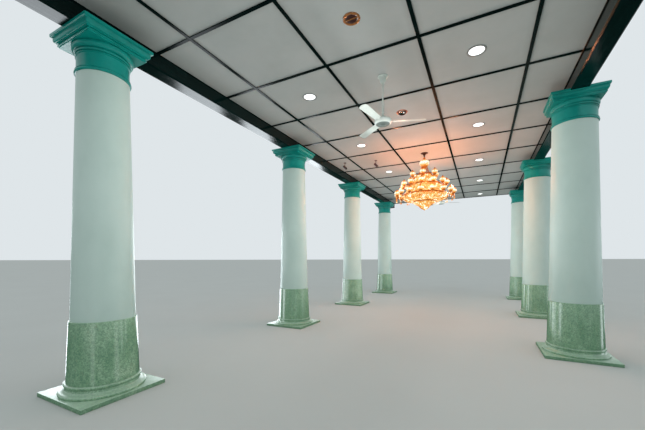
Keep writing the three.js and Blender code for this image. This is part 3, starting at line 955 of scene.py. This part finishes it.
bright_reflector, tree, shader = new_finish("bright_reflector")
cloud = mottle(tree, place_on_part(tree), 90, 3, 0.6)
tree.links.new(colour_steps(tree, cloud, [
    (0.3, (0.70, 0.70, 0.68)),
    (0.7, (0.86, 0.86, 0.84)),
]), shader.inputs["Base Color"])
shader.inputs["Metallic"].default_value = 1.0
shader.inputs["Roughness"].default_value = 0.14
relief(tree, shader, cloud, 0.0004, 0.3)
eye_reflector = bmesh.new()
turn(eye_reflector, [
    (0.0240, -0.0052),
    (0.0420, -0.0128),
    (0.0430, -0.0140),
    (0.0440, -0.0128),
    (0.0250, -0.0046),
    (0.0240, -0.0052),
], steps=48)
turn(eye_reflector, [
    (0, -0.0140),
    (0.0060, -0.0130),
    (0.0090, -0.0095),
    (0.0090, -0.0042),
    (0, -0.0042),
], steps=24)
bmesh.ops.transform(eye_reflector, matrix=eye_seat, verts=eye_reflector.verts)
set_piece("eye_reflector", finish_mesh(eye_reflector, "eye_reflector"), bright_reflector)

# Light cans
# Over each lamp a drawn can of galvanised steel stands on the boards, with a rolled foot, two
# fixing ears with screws, a domed lid and a cable gland.
can_radius = 0.1018
small_can_radius = 0.0838
can_steel, tree, shader = new_finish("can_steel")
spangle = tree.nodes.new("ShaderNodeTexVoronoi")
spangle.inputs["Scale"].default_value = 60
tree.links.new(place_on_part(tree), spangle.inputs["Vector"])
tree.links.new(colour_steps(tree, parts_of(tree, spangle.outputs["Color"])[0], [
    (0.2, (0.38, 0.40, 0.41)),
    (0.8, (0.56, 0.58, 0.59)),
]), shader.inputs["Base Color"])
shader.inputs["Metallic"].default_value = 0.9
shader.inputs["Roughness"].default_value = 0.38
cans = bmesh.new()
board_back = ceiling_height + board_thickness
can_sizes = [(place, can_radius) for place in lamp_places]
can_sizes += [(place, small_can_radius) for place in (amber_lamp_place, tuple(eye_place.xy))]
for (x, y), radius in can_sizes:
    turn(cans, [
        (0, board_back + 0.0003),
        (radius + 0.006, board_back + 0.0003),
        (radius + 0.006, board_back + 0.0030),
        (radius + 0.0008, board_back + 0.0045),
        (radius, board_back + 0.0080),
        (radius, board_back + 0.0770),
        (radius - 0.004, board_back + 0.0800),
        (radius - 0.016, board_back + 0.0812),
        (radius - 0.020, board_back + 0.0840),
        (0, board_back + 0.0850),
    ], steps=36, middle=(x, y))
    turn(cans, [
        (0, board_back + 0.0845),
        (0.014, board_back + 0.0845),
        (0.014, board_back + 0.0960),
        (0.009, board_back + 0.0975),
        (0.009, board_back + 0.1050),
        (0, board_back + 0.1050),
    ], steps=12, middle=(x + radius * 0.5, y))
    for side in (-1, 1):
        ear = sorted((x + side * (radius + 0.003), x + side * (radius + 0.030)))
        add_block(
            cans, (ear[0], y - 0.011, board_back + 0.0003),
            (ear[1], y + 0.011, board_back + 0.0022), 0.0008,
        )
        add_screw(cans, x + side * (radius + 0.020), y, board_back + 0.0028, up=True)
set_piece("light_cans", finish_mesh(cans, "light_cans"), can_steel)

# Joists
# Thirteen sawn timbers across the hall carry the boards, halved over a wall plate that is fixed
# to each beam. They are bare wood, and only show from above.
joist_width = 0.05
joist_depth = 0.10
joist_arris = 0.0025
joist_play = 0.0003
joist_top = board_back + joist_depth
plate_top = board_back + joist_depth / 2


def timber_finish(name, along_axis):
    """Sawn softwood with its grain along one axis."""
    material, tree, shader = new_finish(name)
    lengthwise = [14, 14, 14]
    lengthwise[along_axis] = 0.8
    grain = mottle(tree, place_on_part(tree, tuple(lengthwise)), 3.2, 6, 0.65, 0.6)
    fibre = mottle(tree, place_on_part(tree, tuple(size * 6 for size in lengthwise)), 4, 3, 0.6)
    cloud = mottle(tree, place_on_part(tree), 1.7, 4, 0.6)
    wood = colour_steps(tree, grain, [
        (0.30, (0.27, 0.165, 0.085)),
        (0.48, (0.40, 0.265, 0.145)),
        (0.70, (0.50, 0.355, 0.21)),
    ])
    wood = lay_over(tree, spread(tree, cloud, 0, 0.5), wood, (0.30, 0.24, 0.18))
    dark_fibre = grey_steps(tree, fibre, [(0.35, 0.3), (0.6, 0)])
    wood = lay_over(tree, dark_fibre, wood, (0.17, 0.11, 0.06))
    tree.links.new(wood, shader.inputs["Base Color"])
    shader.inputs["Roughness"].default_value = 0.82
    relief(tree, shader, fibre, 0.0008, 0.5)
    return material


joists = bmesh.new()
joist_lines = []
for number in range(boards_along + 1):
    line = (number - boards_along / 2) * board_pitch
    line = max(joist_width / 2 - field_half, min(field_half - joist_width / 2, line))
    joist_lines.append(line)
    add_block(
        joists, (-nave_half + joist_play, line - joist_width / 2, board_back),
        (nave_half - joist_play, line + joist_width / 2, joist_top), joist_arris,
    )
set_piece(
    "ceiling_joists_finish", finish_mesh(joists, "ceiling_joists"), timber_finish("joist_timber", 0),
    stands_for=("ceiling_joists",),
)
plates = bmesh.new()
for side in (-1, 1):
    inner, outer = sorted((side * (nave_half - joist_width), side * (nave_half - joist_play)))
    for start, end in zip(joist_lines, joist_lines[1:]):
        add_block(
            plates, (inner, start + joist_width / 2, board_back),
            (outer, end - joist_width / 2, plate_top), joist_arris,
        )
plate_timber = timber_finish("plate_timber", 1)
set_piece("wall_plates", finish_mesh(plates, "wall_plates"), plate_timber)

# Ceiling fans
# Two white enamelled fans. A spun cup on the boards holds a steel rod by a cross bolt, and a
# second bolt holds the cone over the motor. The cup, rod, cone, shaft and end cap stand still.
# The motor case, with its ring of vents, carries three pressed blades on riveted irons, and turns.
fan_lines = [-2.5 * board_pitch, 3.5 * board_pitch]
rose_top = ceiling_height - 0.0001
fan_rod_radius = 0.009
fan_shaft_radius = 0.012
fan_bore_radius = 0.0138
fan_bolt_heights = (4.010, 3.600)
fan_blade_count = 3
fan_blade_turn = math.radians(20)
fan_blade_pitch = math.radians(11)
fan_blade_root = 0.151
fan_blade_tip = 0.610
fan_blade_corner = 0.565
fan_blade_root_half = 0.0456
fan_blade_widening = 0.0144
fan_corner_power = 2.4
fan_blade_height = 3.467
fan_motor_steps = 48
fan_plate_radius = 0.100
fan_plate_height = 3.43
fan_vent_reach = (0.090, 0.106)
fan_vent_foot = 3.49
fan_vent_pitch = 15
white_enamel, tree, shader = new_finish("white_enamel")
coat = mottle(tree, place_on_part(tree), 7, 4, 0.6)
dust = mottle(tree, place_on_part(tree), 70, 3, 0.6)
enamel = colour_steps(tree, coat, [(0.3, (0.60, 0.66, 0.61)), (0.7, (0.70, 0.74, 0.69))])
enamel = lay_over(tree, grey_steps(tree, dust, [(0.55, 0), (0.8, 0.3)]), enamel, (0.36, 0.36, 0.31))
# Painted shade: the stored glow marks the underside of the motor, painted darker for its shade.
enamel = lay_over(tree, glow_of(tree), enamel, (0.15, 0.18, 0.165))
tree.links.new(enamel, shader.inputs["Base Color"])
tree.links.new(spread(tree, coat, 0.22, 0.40), shader.inputs["Roughness"])
relief(tree, shader, dust, 0.0004, 0.25)


def add_bolt(shape, middle, radius, length):
    """A bolt across a rod, along X, with a hexagon head and nut."""
    lying = Matrix.Rotation(math.radians(90), 4, "Y")
    bmesh.ops.create_cone(
        shape, cap_ends=True, segments=10, radius1=radius, radius2=radius, depth=length,
        matrix=Matrix.Translation(middle) @ lying,
    )
    for side in (-1, 1):
        end = Vector(middle) + Vector((side * (length / 2 - 0.002), 0, 0))
        bmesh.ops.create_cone(
            shape, cap_ends=True, segments=6, radius1=radius * 1.8, radius2=radius * 1.8, depth=0.004,
            matrix=Matrix.Translation(end) @ lying,
        )


def add_fan_blade(shape, heading, middle):
    """A cambered blade and its iron, pitched and turned to its heading round the shaft."""
    before = set(shape.verts)
    sheet = bmesh.ops.create_grid(shape, x_segments=18, y_segments=6, size=1.0)["verts"]
    for vert in sheet:
        share = 1 - (1 - (vert.co.x + 1) / 2) ** 1.7
        reach = fan_blade_root + (fan_blade_tip - fan_blade_root) * share
        half = fan_blade_root_half + fan_blade_widening * share
        past_corner = max(0.0, (reach - fan_blade_corner) / (fan_blade_tip - fan_blade_corner))
        half *= (1 - min(1.0, past_corner) ** fan_corner_power) ** (1 / fan_corner_power)
        vert.co = Vector((reach, vert.co.y * half, 0.004 - 0.007 * vert.co.y ** 2))
    faces = list({face for vert in sheet for face in vert.link_faces})
    bmesh.ops.solidify(shape, geom=faces, thickness=0.0018)
    add_block(shape, (0.100, -0.017, -0.0030), (0.205, 0.017, 0.0004), 0.001, 1)
    add_block(shape, (0.148, -0.031, -0.0030), (0.184, 0.031, 0.0004), 0.001, 1)
    for x, y in ((0.166, -0.022), (0.166, 0.022), (0.196, 0.0)):
        add_screw(shape, x, y, -0.0035)
    added = [vert for vert in shape.verts if vert not in before]
    pose = (
        Matrix.Translation((*middle, fan_blade_height))
        @ Matrix.Rotation(heading, 4, "Z")
        @ Matrix.Rotation(fan_blade_pitch, 4, "X")
    )
    bmesh.ops.transform(shape, matrix=pose, verts=added)


def shaded_plate(place):
    """Marks the dished plate under a motor and the end cap below it, which take a painted shade."""
    reach = nearest_reach(place, [(0, line) for line in fan_lines])
    return 1.0 if reach < fan_plate_radius and place.z < fan_plate_height else 0.0


for number, line in enumerate(fan_lines, 1):
    rod = bmesh.new()
    turn(rod, [
        (0, rose_top),
        (0.0750, rose_top),
        (0.0758, 4.1170),
        (0.0745, 4.1125),
        (0.0690, 4.1095),
        (0.0560, 4.1080),
        (0.0530, 4.1045),
        (0.0515, 4.0950),
        (0.0480, 4.0700),
        (0.0420, 4.0500),
        (0.0320, 4.0340),
        (0.0270, 4.0270),
        (0.0235, 4.0262),
        (0.0225, 4.0320),
        (fan_rod_radius, 4.0360),
        (fan_rod_radius, 3.5800),
        (0.0145, 3.5780),
        (0.0165, 3.5720),
        (0.0235, 3.5600),
        (0.0325, 3.5420),
        (0.0360, 3.5300),
        (0.0355, 3.5265),
        (0.0320, 3.5262),
        (fan_shaft_radius, 3.5300),
        (fan_shaft_radius, 3.4242),
        (0.0300, 3.4242),
        (0.0320, 3.4215),
        (0.0300, 3.4150),
        (0.0220, 3.4105),
        (0.0100, 3.4088),
        (0, 3.4087),
    ], steps=40, middle=(0, line))
    for bolt_height in fan_bolt_heights:
        add_bolt(rod, (0, line, bolt_height), 0.0030, 0.034)
    rod_data = finish_mesh(rod, f"fan_{number}_rod")
    set_glow(rod_data, shaded_plate)
    set_piece(
        f"fan_{number}_rod_finish", rod_data, white_enamel,
        stands_for=(f"fan_{number}_rod",),
    )
    rotor = bmesh.new()
    turn(rotor, [
        (fan_bore_radius, 3.4262),
        (0.0340, 3.4262),
        (0.0360, 3.4280),
        (0.0620, 3.4285),
        (0.0640, 3.4297),
        (0.0670, 3.4297),
        (0.0690, 3.4285),
        (0.0860, 3.4290),
        (0.0880, 3.4255),
        (0.0920, 3.4250),
        (0.0960, 3.4262),
        (0.1050, 3.4310),
        (0.1150, 3.4390),
        (0.1205, 3.4495),
        (0.1210, 3.4600),
        (0.1195, 3.4620),
        (0.1195, 3.4660),
        (0.1210, 3.4680),
        (0.1205, 3.4820),
        (0.1160, 3.4910),
        (0.1080, 3.4972),
        (0.0880, 3.5050),
        (0.0600, 3.5130),
        (0.0380, 3.5188),
        (fan_bore_radius, 3.5195),
        (fan_bore_radius, 3.4262),
    ], steps=fan_motor_steps, middle=(0, line))
    vents = []
    for face in rotor.faces:
        place = face.calc_center_median()
        reach = math.hypot(place.x, place.y - line)
        in_ring = fan_vent_reach[0] < reach < fan_vent_reach[1] and place.z > fan_vent_foot
        around = math.degrees(math.atan2(place.y - line, place.x)) % fan_vent_pitch
        if in_ring and around < fan_vent_pitch / 2:
            vents.append(face)
    bmesh.ops.inset_individual(rotor, faces=vents, thickness=0.0018, depth=-0.0030)
    for blade in range(fan_blade_count):
        add_fan_blade(rotor, fan_blade_turn + blade * 2 * math.pi / fan_blade_count, (0, line))
    rotor_data = finish_mesh(rotor, f"fan_{number}_rotor")
    set_glow(rotor_data, shaded_plate)
    set_piece(
        f"fan_{number}_rotor_finish", rotor_data, white_enamel,
        body=f"fan_{number}", stands_for=(f"fan_{number}_rotor",),
    )

# Chandelier stem
# A spun bronze rose on the ceiling, a short rod with two knobs, and a collar that holds the
# glass vase below it. Brown lacquer at the top turns to gilding towards the lamps.
chandelier_middle = (0, 0.5 * board_pitch)
bronze_lacquer = sprayed_coat(
    "bronze_lacquer", 22, (0.022, 0.006, 0.003), (0.055, 0.015, 0.006), (0.24, 0.40), metallic=0.5,
)
stem = bmesh.new()
turn(stem, [
    (0, rose_top),
    (0.0880, rose_top),
    (0.0900, 4.1170),
    (0.0895, 4.1120),
    (0.0860, 4.1080),
    (0.0835, 4.1060),
    *arc((0.0950, 4.0380), (-0.0790, 0.0680), 72, 4, 7),
    (0.0150, 4.0360),
    (0.0120, 4.0320),
    (0.0120, 4.0130),
    (0.0170, 4.0100),
    (0.0170, 4.0070),
    (0, 4.0070),
], steps=40, middle=chandelier_middle)
set_piece(
    "chandelier_stem_finish", finish_mesh(stem, "chandelier_stem"), bronze_lacquer,
    stands_for=("chandelier_stem",),
)

# Chandelier brass
# Gilt brass, lit orange by the lamps: the knob and collar of the vase, the lattice basket under
# it, four moulded rings that carry the tiers, and 34 bent arms that end in a scalloped cup.
gilt_brass, tree, shader = new_finish("gilt_brass")
coat = mottle(tree, place_on_part(tree), 14, 4, 0.6)
gilding = colour_steps(tree, coat, [(0.3, (0.13, 0.036, 0.006)), (0.7, (0.24, 0.075, 0.014))])
tree.links.new(gilding, shader.inputs["Base Color"])
# Painted glow: the brass glows orange, standing for the lamps' light on it.
lit_brass = colour_steps(tree, coat, [(0.3, (0.62, 0.13, 0.012)), (0.7, (0.90, 0.26, 0.035))])
tree.links.new(lit_brass, shader.inputs["Emission Color"])
shader.inputs["Emission Strength"].default_value = 0.42
shader.inputs["Metallic"].default_value = 0.9
tree.links.new(spread(tree, coat, 0.20, 0.36), shader.inputs["Roughness"])
relief(tree, shader, coat, 0.0004, 0.3)

# The rings, as (top, radius, depth), and the lamps of each tier, as (count, circle, base).
tier_rings = [(3.583, 0.184, 0.025), (3.334, 0.384, 0.025), (3.090, 0.508, 0.028)]
tier_lamps = [(6, 0.301, 3.523), (12, 0.519, 3.283), (16, 0.676, 3.046)]
bowl_ring = (2.910, 0.275, 0.020)
chandelier_heading = math.radians(2 - 90)
arm_radius = 0.0065
arm_steps = 8
strand_count = 20
strand_radius = 0.0026
strand_lean = math.radians(5.4)


def smooth_curve(points, count):
    """So many places along a smooth curve through some (radius, height) points."""
    places = [Vector(point) for point in points]
    places = [2 * places[0] - places[1], *places, 2 * places[-1] - places[-2]]
    spans = len(points) - 1
    curve = []
    for step in range(count + 1):
        along = min(step / count * spans, spans - 1e-9)
        span = int(along)
        t = along - span
        a, b, c, d = places[span:span + 4]
        curve.append(0.5 * (2 * b + (c - a) * t + (2 * a - 5 * b + 4 * c - d) * t ** 2
                            + (3 * b - a - 3 * c + d) * t ** 3))
    return [tuple(place) for place in curve]


def add_rod(shape, path, radius, sides=7):
    """A round rod along a path, with closed ends."""
    loops = []
    for number, place in enumerate(path):
        ahead = Vector(path[min(number + 1, len(path) - 1)]) - Vector(path[max(number - 1, 0)])
        facing = ahead.to_track_quat("Z", "Y").to_matrix().to_4x4()
        circle = bmesh.ops.create_circle(
            shape, cap_ends=number in (0, len(path) - 1), segments=sides, radius=radius,
            matrix=Matrix.Translation(place) @ facing,
        )["verts"]
        round_place = {edge for vert in circle for edge in vert.link_edges}
        loops.append([edge for edge in round_place if set(edge.verts) <= set(circle)])
    for near, far in zip(loops, loops[1:]):
        bmesh.ops.bridge_loops(shape, edges=near + far)


def at_heading(reach, height, heading):
    """A place so far out from the chandelier's axis, at a height and a heading."""
    x, y = chandelier_middle
    return Vector((x + reach * math.cos(heading), y + reach * math.sin(heading), height))


def lamp_headings(tier):
    """The heading of each lamp of a tier."""
    count = tier_lamps[tier][0]
    return [chandelier_heading + number * 2 * math.pi / count for number in range(count)]


brass = bmesh.new()
turn(brass, [
    (0, 4.0090),
    (0.0130, 4.0080),
    *arc((0.0130, 3.9940), (0.0200, 0.0150), 62, -62, 7),
    (0.0150, 3.9770),
    (0.0180, 3.9710),
    (0.0320, 3.9640),
    (0.0480, 3.9590),
    (0.0500, 3.9550),
    (0.0460, 3.9510),
    (0, 3.9510),
], steps=32, middle=chandelier_middle)
turn(brass, [
    (0.0560, 3.7880),
    (0.0700, 3.7890),
    (0.0760, 3.7840),
    (0.0740, 3.7780),
    (0.0700, 3.7750),
    (0.0780, 3.7690),
    (0.0800, 3.7630),
    (0.0740, 3.7600),
    (0.0560, 3.7620),
    (0.0560, 3.7880),
], steps=32, middle=chandelier_middle)
for top, radius, depth in [*tier_rings, bowl_ring]:
    turn(brass, [
        (radius - 0.016, top + 0.001),
        (radius - 0.005, top + 0.004),
        (radius + 0.002, top + 0.003),
        (radius + 0.004, top - 0.001),
        (radius + 0.001, top - 0.005),
        (radius + 0.001, top - depth + 0.005),
        (radius + 0.005, top - depth + 0.001),
        (radius + 0.003, top - depth - 0.003),
        (radius - 0.005, top - depth - 0.004),
        (radius - 0.016, top - depth - 0.001),
        (radius - 0.016, top + 0.001),
    ], steps=72, middle=chandelier_middle)
for (top, radius, depth), (_, circle, base), headings in zip(
    tier_rings, tier_lamps, map(lamp_headings, range(3)),
):
    start = Vector((radius - 0.006, top - depth / 2))
    bend = Vector((circle - 0.020, base - 0.060))
    end = Vector((circle, base + 0.004))
    for heading in headings:
        bent = []
        for step in range(arm_steps + 1):
            t = step / arm_steps
            reach, height = (1 - t) ** 2 * start + 2 * t * (1 - t) * bend + t ** 2 * end
            bent.append(at_heading(reach, height, heading))
        add_rod(brass, bent, arm_radius)
        cup_middle = at_heading(circle, base, heading)
        turn(brass, [
            (0, base - 0.030),
            (0.007, base - 0.027),
            (0.009, base - 0.020),
            (0.006, base - 0.013),
            (0.014, base - 0.006),
            (0.030, base + 0.001),
            (0.042, base + 0.011),
            (0.046, base + 0.019),
            (0.044, base + 0.020),
            (0.029, base + 0.008),
            (0, base + 0.006),
        ], steps=16, middle=(cup_middle.x, cup_middle.y))
basket = smooth_curve([(0.0760, 3.7650), (0.0900, 3.7080), (0.1180, 3.6480), (0.1680, 3.5870)], 10)
for strand in range(strand_count):
    for lean in (-1, 1):
        heading = chandelier_heading + strand * 2 * math.pi / strand_count
        crossing = []
        for step, (reach, height) in enumerate(basket):
            crossing.append(at_heading(reach, height, heading + lean * strand_lean * step))
        add_rod(brass, crossing, strand_radius, 5)
set_piece("chandelier_brass", finish_mesh(brass, "chandelier_brass", 40), gilt_brass)

# Chandelier glass
# Amber glass with lamps behind it: a melon-ribbed vase and 34 shades blown in the shape of a
# lotus bud, hottest at the belly. The lining of the skirts and of the bowl is a sheet of the same
# glass behind the beads; its glow is painted light, for the lamps' light in the crystals.
vase_belly = 3.878
vase_ribs = 12
shade_belly = 0.078
shade_petals = 6
lining_depth = 0.010
lining_glow = 0.56
lit_amber_glass, tree, shader = new_finish("lit_amber_glass")
cloud = mottle(tree, place_on_part(tree), 34, 3, 0.6)
hot = number_step(tree, "ADD", glow_of(tree), spread(tree, cloud, -0.55, 0.55))
glass = colour_steps(tree, hot, [
    (0.02, (0.55, 0.075, 0.004)),
    (0.25, (0.95, 0.22, 0.020)),
    (0.50, (1.00, 0.44, 0.08)),
    (0.70, (1.00, 0.72, 0.30)),
    (0.88, (1.00, 0.97, 0.88)),
])
tree.links.new(lay_over(tree, 0.9, glass, (0.060, 0.018, 0.003)), shader.inputs["Base Color"])
tree.links.new(glass, shader.inputs["Emission Color"])
tree.links.new(spread(tree, hot, 0.42, 1.12), shader.inputs["Emission Strength"])
shader.inputs["Roughness"].default_value = 0.12
relief(tree, shader, cloud, 0.0008, 0.3)


def flute(shape, verts, middle, count, depth):
    """Draws the sides of a turned form in and out, so many times round its axis."""
    for vert in verts:
        away = Vector((vert.co.x - middle[0], vert.co.y - middle[1], 0))
        swell = 1 + depth * math.cos(count * math.atan2(away.y, away.x))
        vert.co += away * (swell - 1)


vase = bmesh.new()
turn(vase, [
    (0, 3.9560),
    *smooth_curve([
        (0.0440, 3.9560), (0.0800, 3.9400), (0.1060, 3.9120), (0.1150, 3.8640), (0.1050, 3.8260),
        (0.0860, 3.8000), (0.0660, 3.7870),
    ], 22),
    (0, 3.7860),
], steps=72, middle=chandelier_middle)
flute(vase, vase.verts, chandelier_middle, vase_ribs, 0.03)
vase_data = finish_mesh(vase, "chandelier_vase")
set_glow(vase_data, lambda place: 0.98 - 7.0 * abs(place.z - vase_belly))
set_piece("chandelier_vase", vase_data, lit_amber_glass)

shades = bmesh.new()
shade_places = []
for tier, (_, circle, base) in enumerate(tier_lamps):
    for heading in lamp_headings(tier):
        middle = at_heading(circle, base, heading)
        before = set(shades.verts)
        turn(shades, [
            (0, base + 0.007),
            *smooth_curve([
                (0.0260, base + 0.010), (0.0320, base + 0.028), (0.0570, base + 0.052),
                (0.0680, base + shade_belly), (0.0570, base + 0.108), (0.0330, base + 0.134),
                (0.0160, base + 0.152), (0.0070, base + 0.170),
            ], 14),
            (0, base + 0.181),
        ], steps=24, middle=(middle.x, middle.y))
        blown = [vert for vert in shades.verts if vert not in before]
        flute(shades, blown, middle, shade_petals, 0.05)
        shade_places.append(middle)
shade_data = finish_mesh(shades, "chandelier_shades", 60)


def shade_glow(place):
    """Hot at the belly of a shade, orange at its foot, red at its tip and between its petals."""
    foot = min(shade_places, key=lambda lamp: (lamp - place).length)
    from_belly = abs(place.z - foot.z - shade_belly)
    petal = math.cos(shade_petals * math.atan2(place.y - foot.y, place.x - foot.x))
    return 1.0 - 12.0 * from_belly - 0.07 * (1 - petal)


set_glow(shade_data, shade_glow)
set_piece("chandelier_shades", shade_data, lit_amber_glass)

skirt_curves = {}
for tier, name in enumerate(("upper", "middle")):
    top, radius, depth = tier_rings[tier]
    next_top, next_radius, _ = tier_rings[tier + 1]
    foot, reach, drop = top - depth, next_radius - radius, top - depth - next_top
    skirt_curves[name] = smooth_curve([
        (radius - 0.006, foot), (radius + reach * 0.18, foot - drop * 0.3),
        (radius + reach * 0.52, foot - drop * 0.7), (next_radius - 0.016, next_top + 0.003),
    ], 14)
bowl_top = tier_rings[2][0] - tier_rings[2][2]
skirt_curves["bowl"] = smooth_curve([
    (0.494, bowl_top), (0.529, 3.042), (0.524, 2.998), (0.468, 2.955), (0.396, 2.933), (0.284, 2.914),
], 20)
skirt_curves["lower_bowl"] = smooth_curve([
    (0.262, 2.888), (0.240, 2.864), (0.178, 2.830), (0.134, 2.795), (0.094, 2.752), (0.044, 2.722),
], 16)
skirt_nodes = {
    "upper": "chandelier_upper_tier", "middle": "chandelier_middle_tier",
    "bowl": "chandelier_lower_tier", "lower_bowl": "chandelier_bowl",
}
# Painted light: each lining glows evenly, for the lamps' light seen through the beads.
for name, curve in skirt_curves.items():
    lining = bmesh.new()
    inner = [(radius - lining_depth, height) for radius, height in curve]
    turn(lining, [(0, curve[0][1]), *inner, (0, curve[-1][1])], steps=60, middle=chandelier_middle)
    lining_data = finish_mesh(lining, f"chandelier_{name}_lining")
    set_glow(lining_data, lambda place: lining_glow)
    set_piece(
        f"chandelier_{name}_lining", lining_data, lit_amber_glass,
        stands_for=(skirt_nodes[name],),
    )

# Chandelier crystals
# Chains of cut glass beads hang from ring to ring over the lining and close in under the bowl,
# with three short chains and drops under each outer lamp, and a long cut drop at the very foot.
# A ring of small warm lights between the tiers throws the lamps' glow on the boards.
warm_light_count = 6
warm_light_circle = 0.74
warm_light_height = 3.25
warm_light_power = 20
warm_light_colour = (1.0, 0.35, 0.17)
bead_spacing = 2.1
bead_glow = 0.44
drop_glow = 0.40
drop_spread = 0.030
cut_crystal, tree, shader = new_finish("cut_crystal")
# Painted light: the beads glow with the lamps' light, and the sparkle and glint noise paints glints on
# them.
sparkle = mottle(tree, place_on_part(tree), 13, 2, 0.7)
glint = mottle(tree, place_on_part(tree), 7, 2, 0.6)
glitter = number_step(tree, "ADD", spread(tree, sparkle, -2.1, 2.1), spread(tree, glint, -0.5, 0.5))
hot = number_step(tree, "ADD", glow_of(tree), glitter)
crystal = colour_steps(tree, hot, [
    (0.05, (0.78, 0.19, 0.020)),
    (0.30, (0.98, 0.36, 0.055)),
    (0.55, (1.00, 0.52, 0.13)),
    (0.78, (1.00, 0.74, 0.36)),
    (0.96, (1.00, 0.98, 0.92)),
])
tree.links.new(lay_over(tree, 0.9, crystal, (0.070, 0.022, 0.004)), shader.inputs["Base Color"])
tree.links.new(crystal, shader.inputs["Emission Color"])
tree.links.new(spread(tree, hot, 0.50, 1.50), shader.inputs["Emission Strength"])
shader.inputs["Roughness"].default_value = 0.05
shader.inputs["Specular IOR Level"].default_value = 0.7
relief(tree, shader, sparkle, 0.0006, 0.3)


def add_bead(shape, place, radius, stretch=1.0):
    """A cut bead of twenty faces, drawn out along its chain."""
    bmesh.ops.create_icosphere(
        shape, subdivisions=1, radius=radius,
        matrix=Matrix.Translation(place) @ Matrix.Diagonal((1, 1, stretch, 1)),
    )


# How many chains a skirt has, and how large their beads are.
chains = {
    "upper": (40, 0.0085), "middle": (60, 0.0090),
    "bowl": (68, 0.0100), "lower_bowl": (34, 0.0085),
}
bead_luck = random.Random(41)
for name, (chain_count, bead_radius) in chains.items():
    beads = bmesh.new()
    curve = skirt_curves[name]
    length = sum(math.dist(near, far) for near, far in zip(curve, curve[1:]))
    bead_count = round(length / (bead_radius * bead_spacing))
    for chain in range(chain_count):
        for step, (radius, height) in enumerate(smooth_curve(curve, bead_count)):
            stagger = 0.5 * (step % 2)
            heading = chandelier_heading + (chain + stagger) * 2 * math.pi / chain_count
            cut_radius = bead_radius * bead_luck.uniform(0.9, 1.08)
            add_bead(beads, at_heading(radius, height, heading), cut_radius)
    beads_data = finish_mesh(beads, f"chandelier_{name}_beads", 20)
    set_glow(beads_data, lambda place: bead_glow)
    set_piece(f"chandelier_{name}_beads", beads_data, cut_crystal)

drops = bmesh.new()
_, circle, base = tier_lamps[2]
for heading in lamp_headings(2):
    for across in (-drop_spread, 0.0, drop_spread):
        turn_aside = across / circle
        reach = circle + 0.022 - 0.4 * abs(across)
        for step in range(4):
            add_bead(drops, at_heading(reach, base - 0.006 - 0.017 * step, heading + turn_aside), 0.0065)
        add_bead(drops, at_heading(reach, base - 0.096, heading + turn_aside), 0.0120, 2.1)
turn(drops, [
    (0, 2.7280),
    (0.0400, 2.7240),
    (0.0440, 2.7170),
    (0.0250, 2.7080),
    (0.0130, 2.7030),
    (0.0180, 2.6970),
    (0.0150, 2.6910),
    (0, 2.6860),
], steps=12, middle=chandelier_middle)
drops_data = finish_mesh(drops, "chandelier_drops", 20)
set_glow(drops_data, lambda place: drop_glow)
set_piece("chandelier_drops", drops_data, cut_crystal)
for number in range(warm_light_count):
    warm_light = bpy.data.lights.new(f"warm_light_{number + 1}", "POINT")
    warm_light.energy = warm_light_power
    warm_light.color = warm_light_colour
    warm_light.shadow_soft_size = 0.08
    heading = chandelier_heading + (number + 0.25) * 2 * math.pi / warm_light_count
    hang_light(warm_light.name, warm_light, at_heading(warm_light_circle, warm_light_height, heading))

# Spotlights
# Two small spotlights under the boards near the left beam. A brown enamelled plate and stem
# carry a can that leans away from the beam; its open mouth shows a bright reflector.
spotlight_places = [(-2.07, 0.41), (-1.25, 0.60)]
spotlight_lean = math.radians(45)
spotlight_pivot = 3.995
bracket_side = 0.0315
for number, (x, y) in enumerate(spotlight_places, 1):
    spotlight = bmesh.new()
    turn(spotlight, [
        (0, rose_top),
        (0.0370, rose_top),
        (0.0380, 4.1180),
        (0.0375, 4.1130),
        (0.0340, 4.1105),
        (0.0100, 4.1095),
        (0.0070, 4.1070),
        (0.0070, 4.0000),
        (0, 4.0000),
    ], steps=24, middle=(x, y))
    before = set(spotlight.verts)
    turn(spotlight, [
        (0, -0.0500),
        (0.0230, -0.0500),
        (0.0250, -0.0650),
        (0.0285, -0.0655),
        (0.0300, -0.0630),
        (0.0300, 0.0200),
        (0.0280, 0.0225),
        (0.0280, 0.0265),
        (0.0300, 0.0290),
        (0.0300, 0.0440),
        (0.0240, 0.0590),
        (0.0120, 0.0650),
        (0, 0.0655),
    ], steps=28)
    for side in (-bracket_side, bracket_side):
        add_block(spotlight, (-0.006, side - 0.0015, -0.006), (0.006, side + 0.0015, 0.034), 0.0006, 1)
    can = [vert for vert in spotlight.verts if vert not in before]
    seat = Matrix.Translation((x, y, spotlight_pivot)) @ Matrix.Rotation(-spotlight_lean, 4, "Y")
    bmesh.ops.transform(spotlight, matrix=seat, verts=can)
    set_piece(
        f"spotlight_{number}_finish", finish_mesh(spotlight, f"spotlight_{number}"), dark_brown_enamel,
        stands_for=(f"spotlight_{number}",),
    )
    reflector = bmesh.new()
    turn(reflector, [
        (0, -0.0500),
        (0.0210, -0.0500),
        (0.0225, -0.0620),
        (0.0205, -0.0620),
        (0.0120, -0.0540),
        (0, -0.0530),
    ], steps=28)
    bmesh.ops.transform(reflector, matrix=seat, verts=reflector.verts)
    set_piece(
        f"spotlight_{number}_reflector", finish_mesh(reflector, f"spotlight_{number}_reflector"),
        bright_reflector,
    )
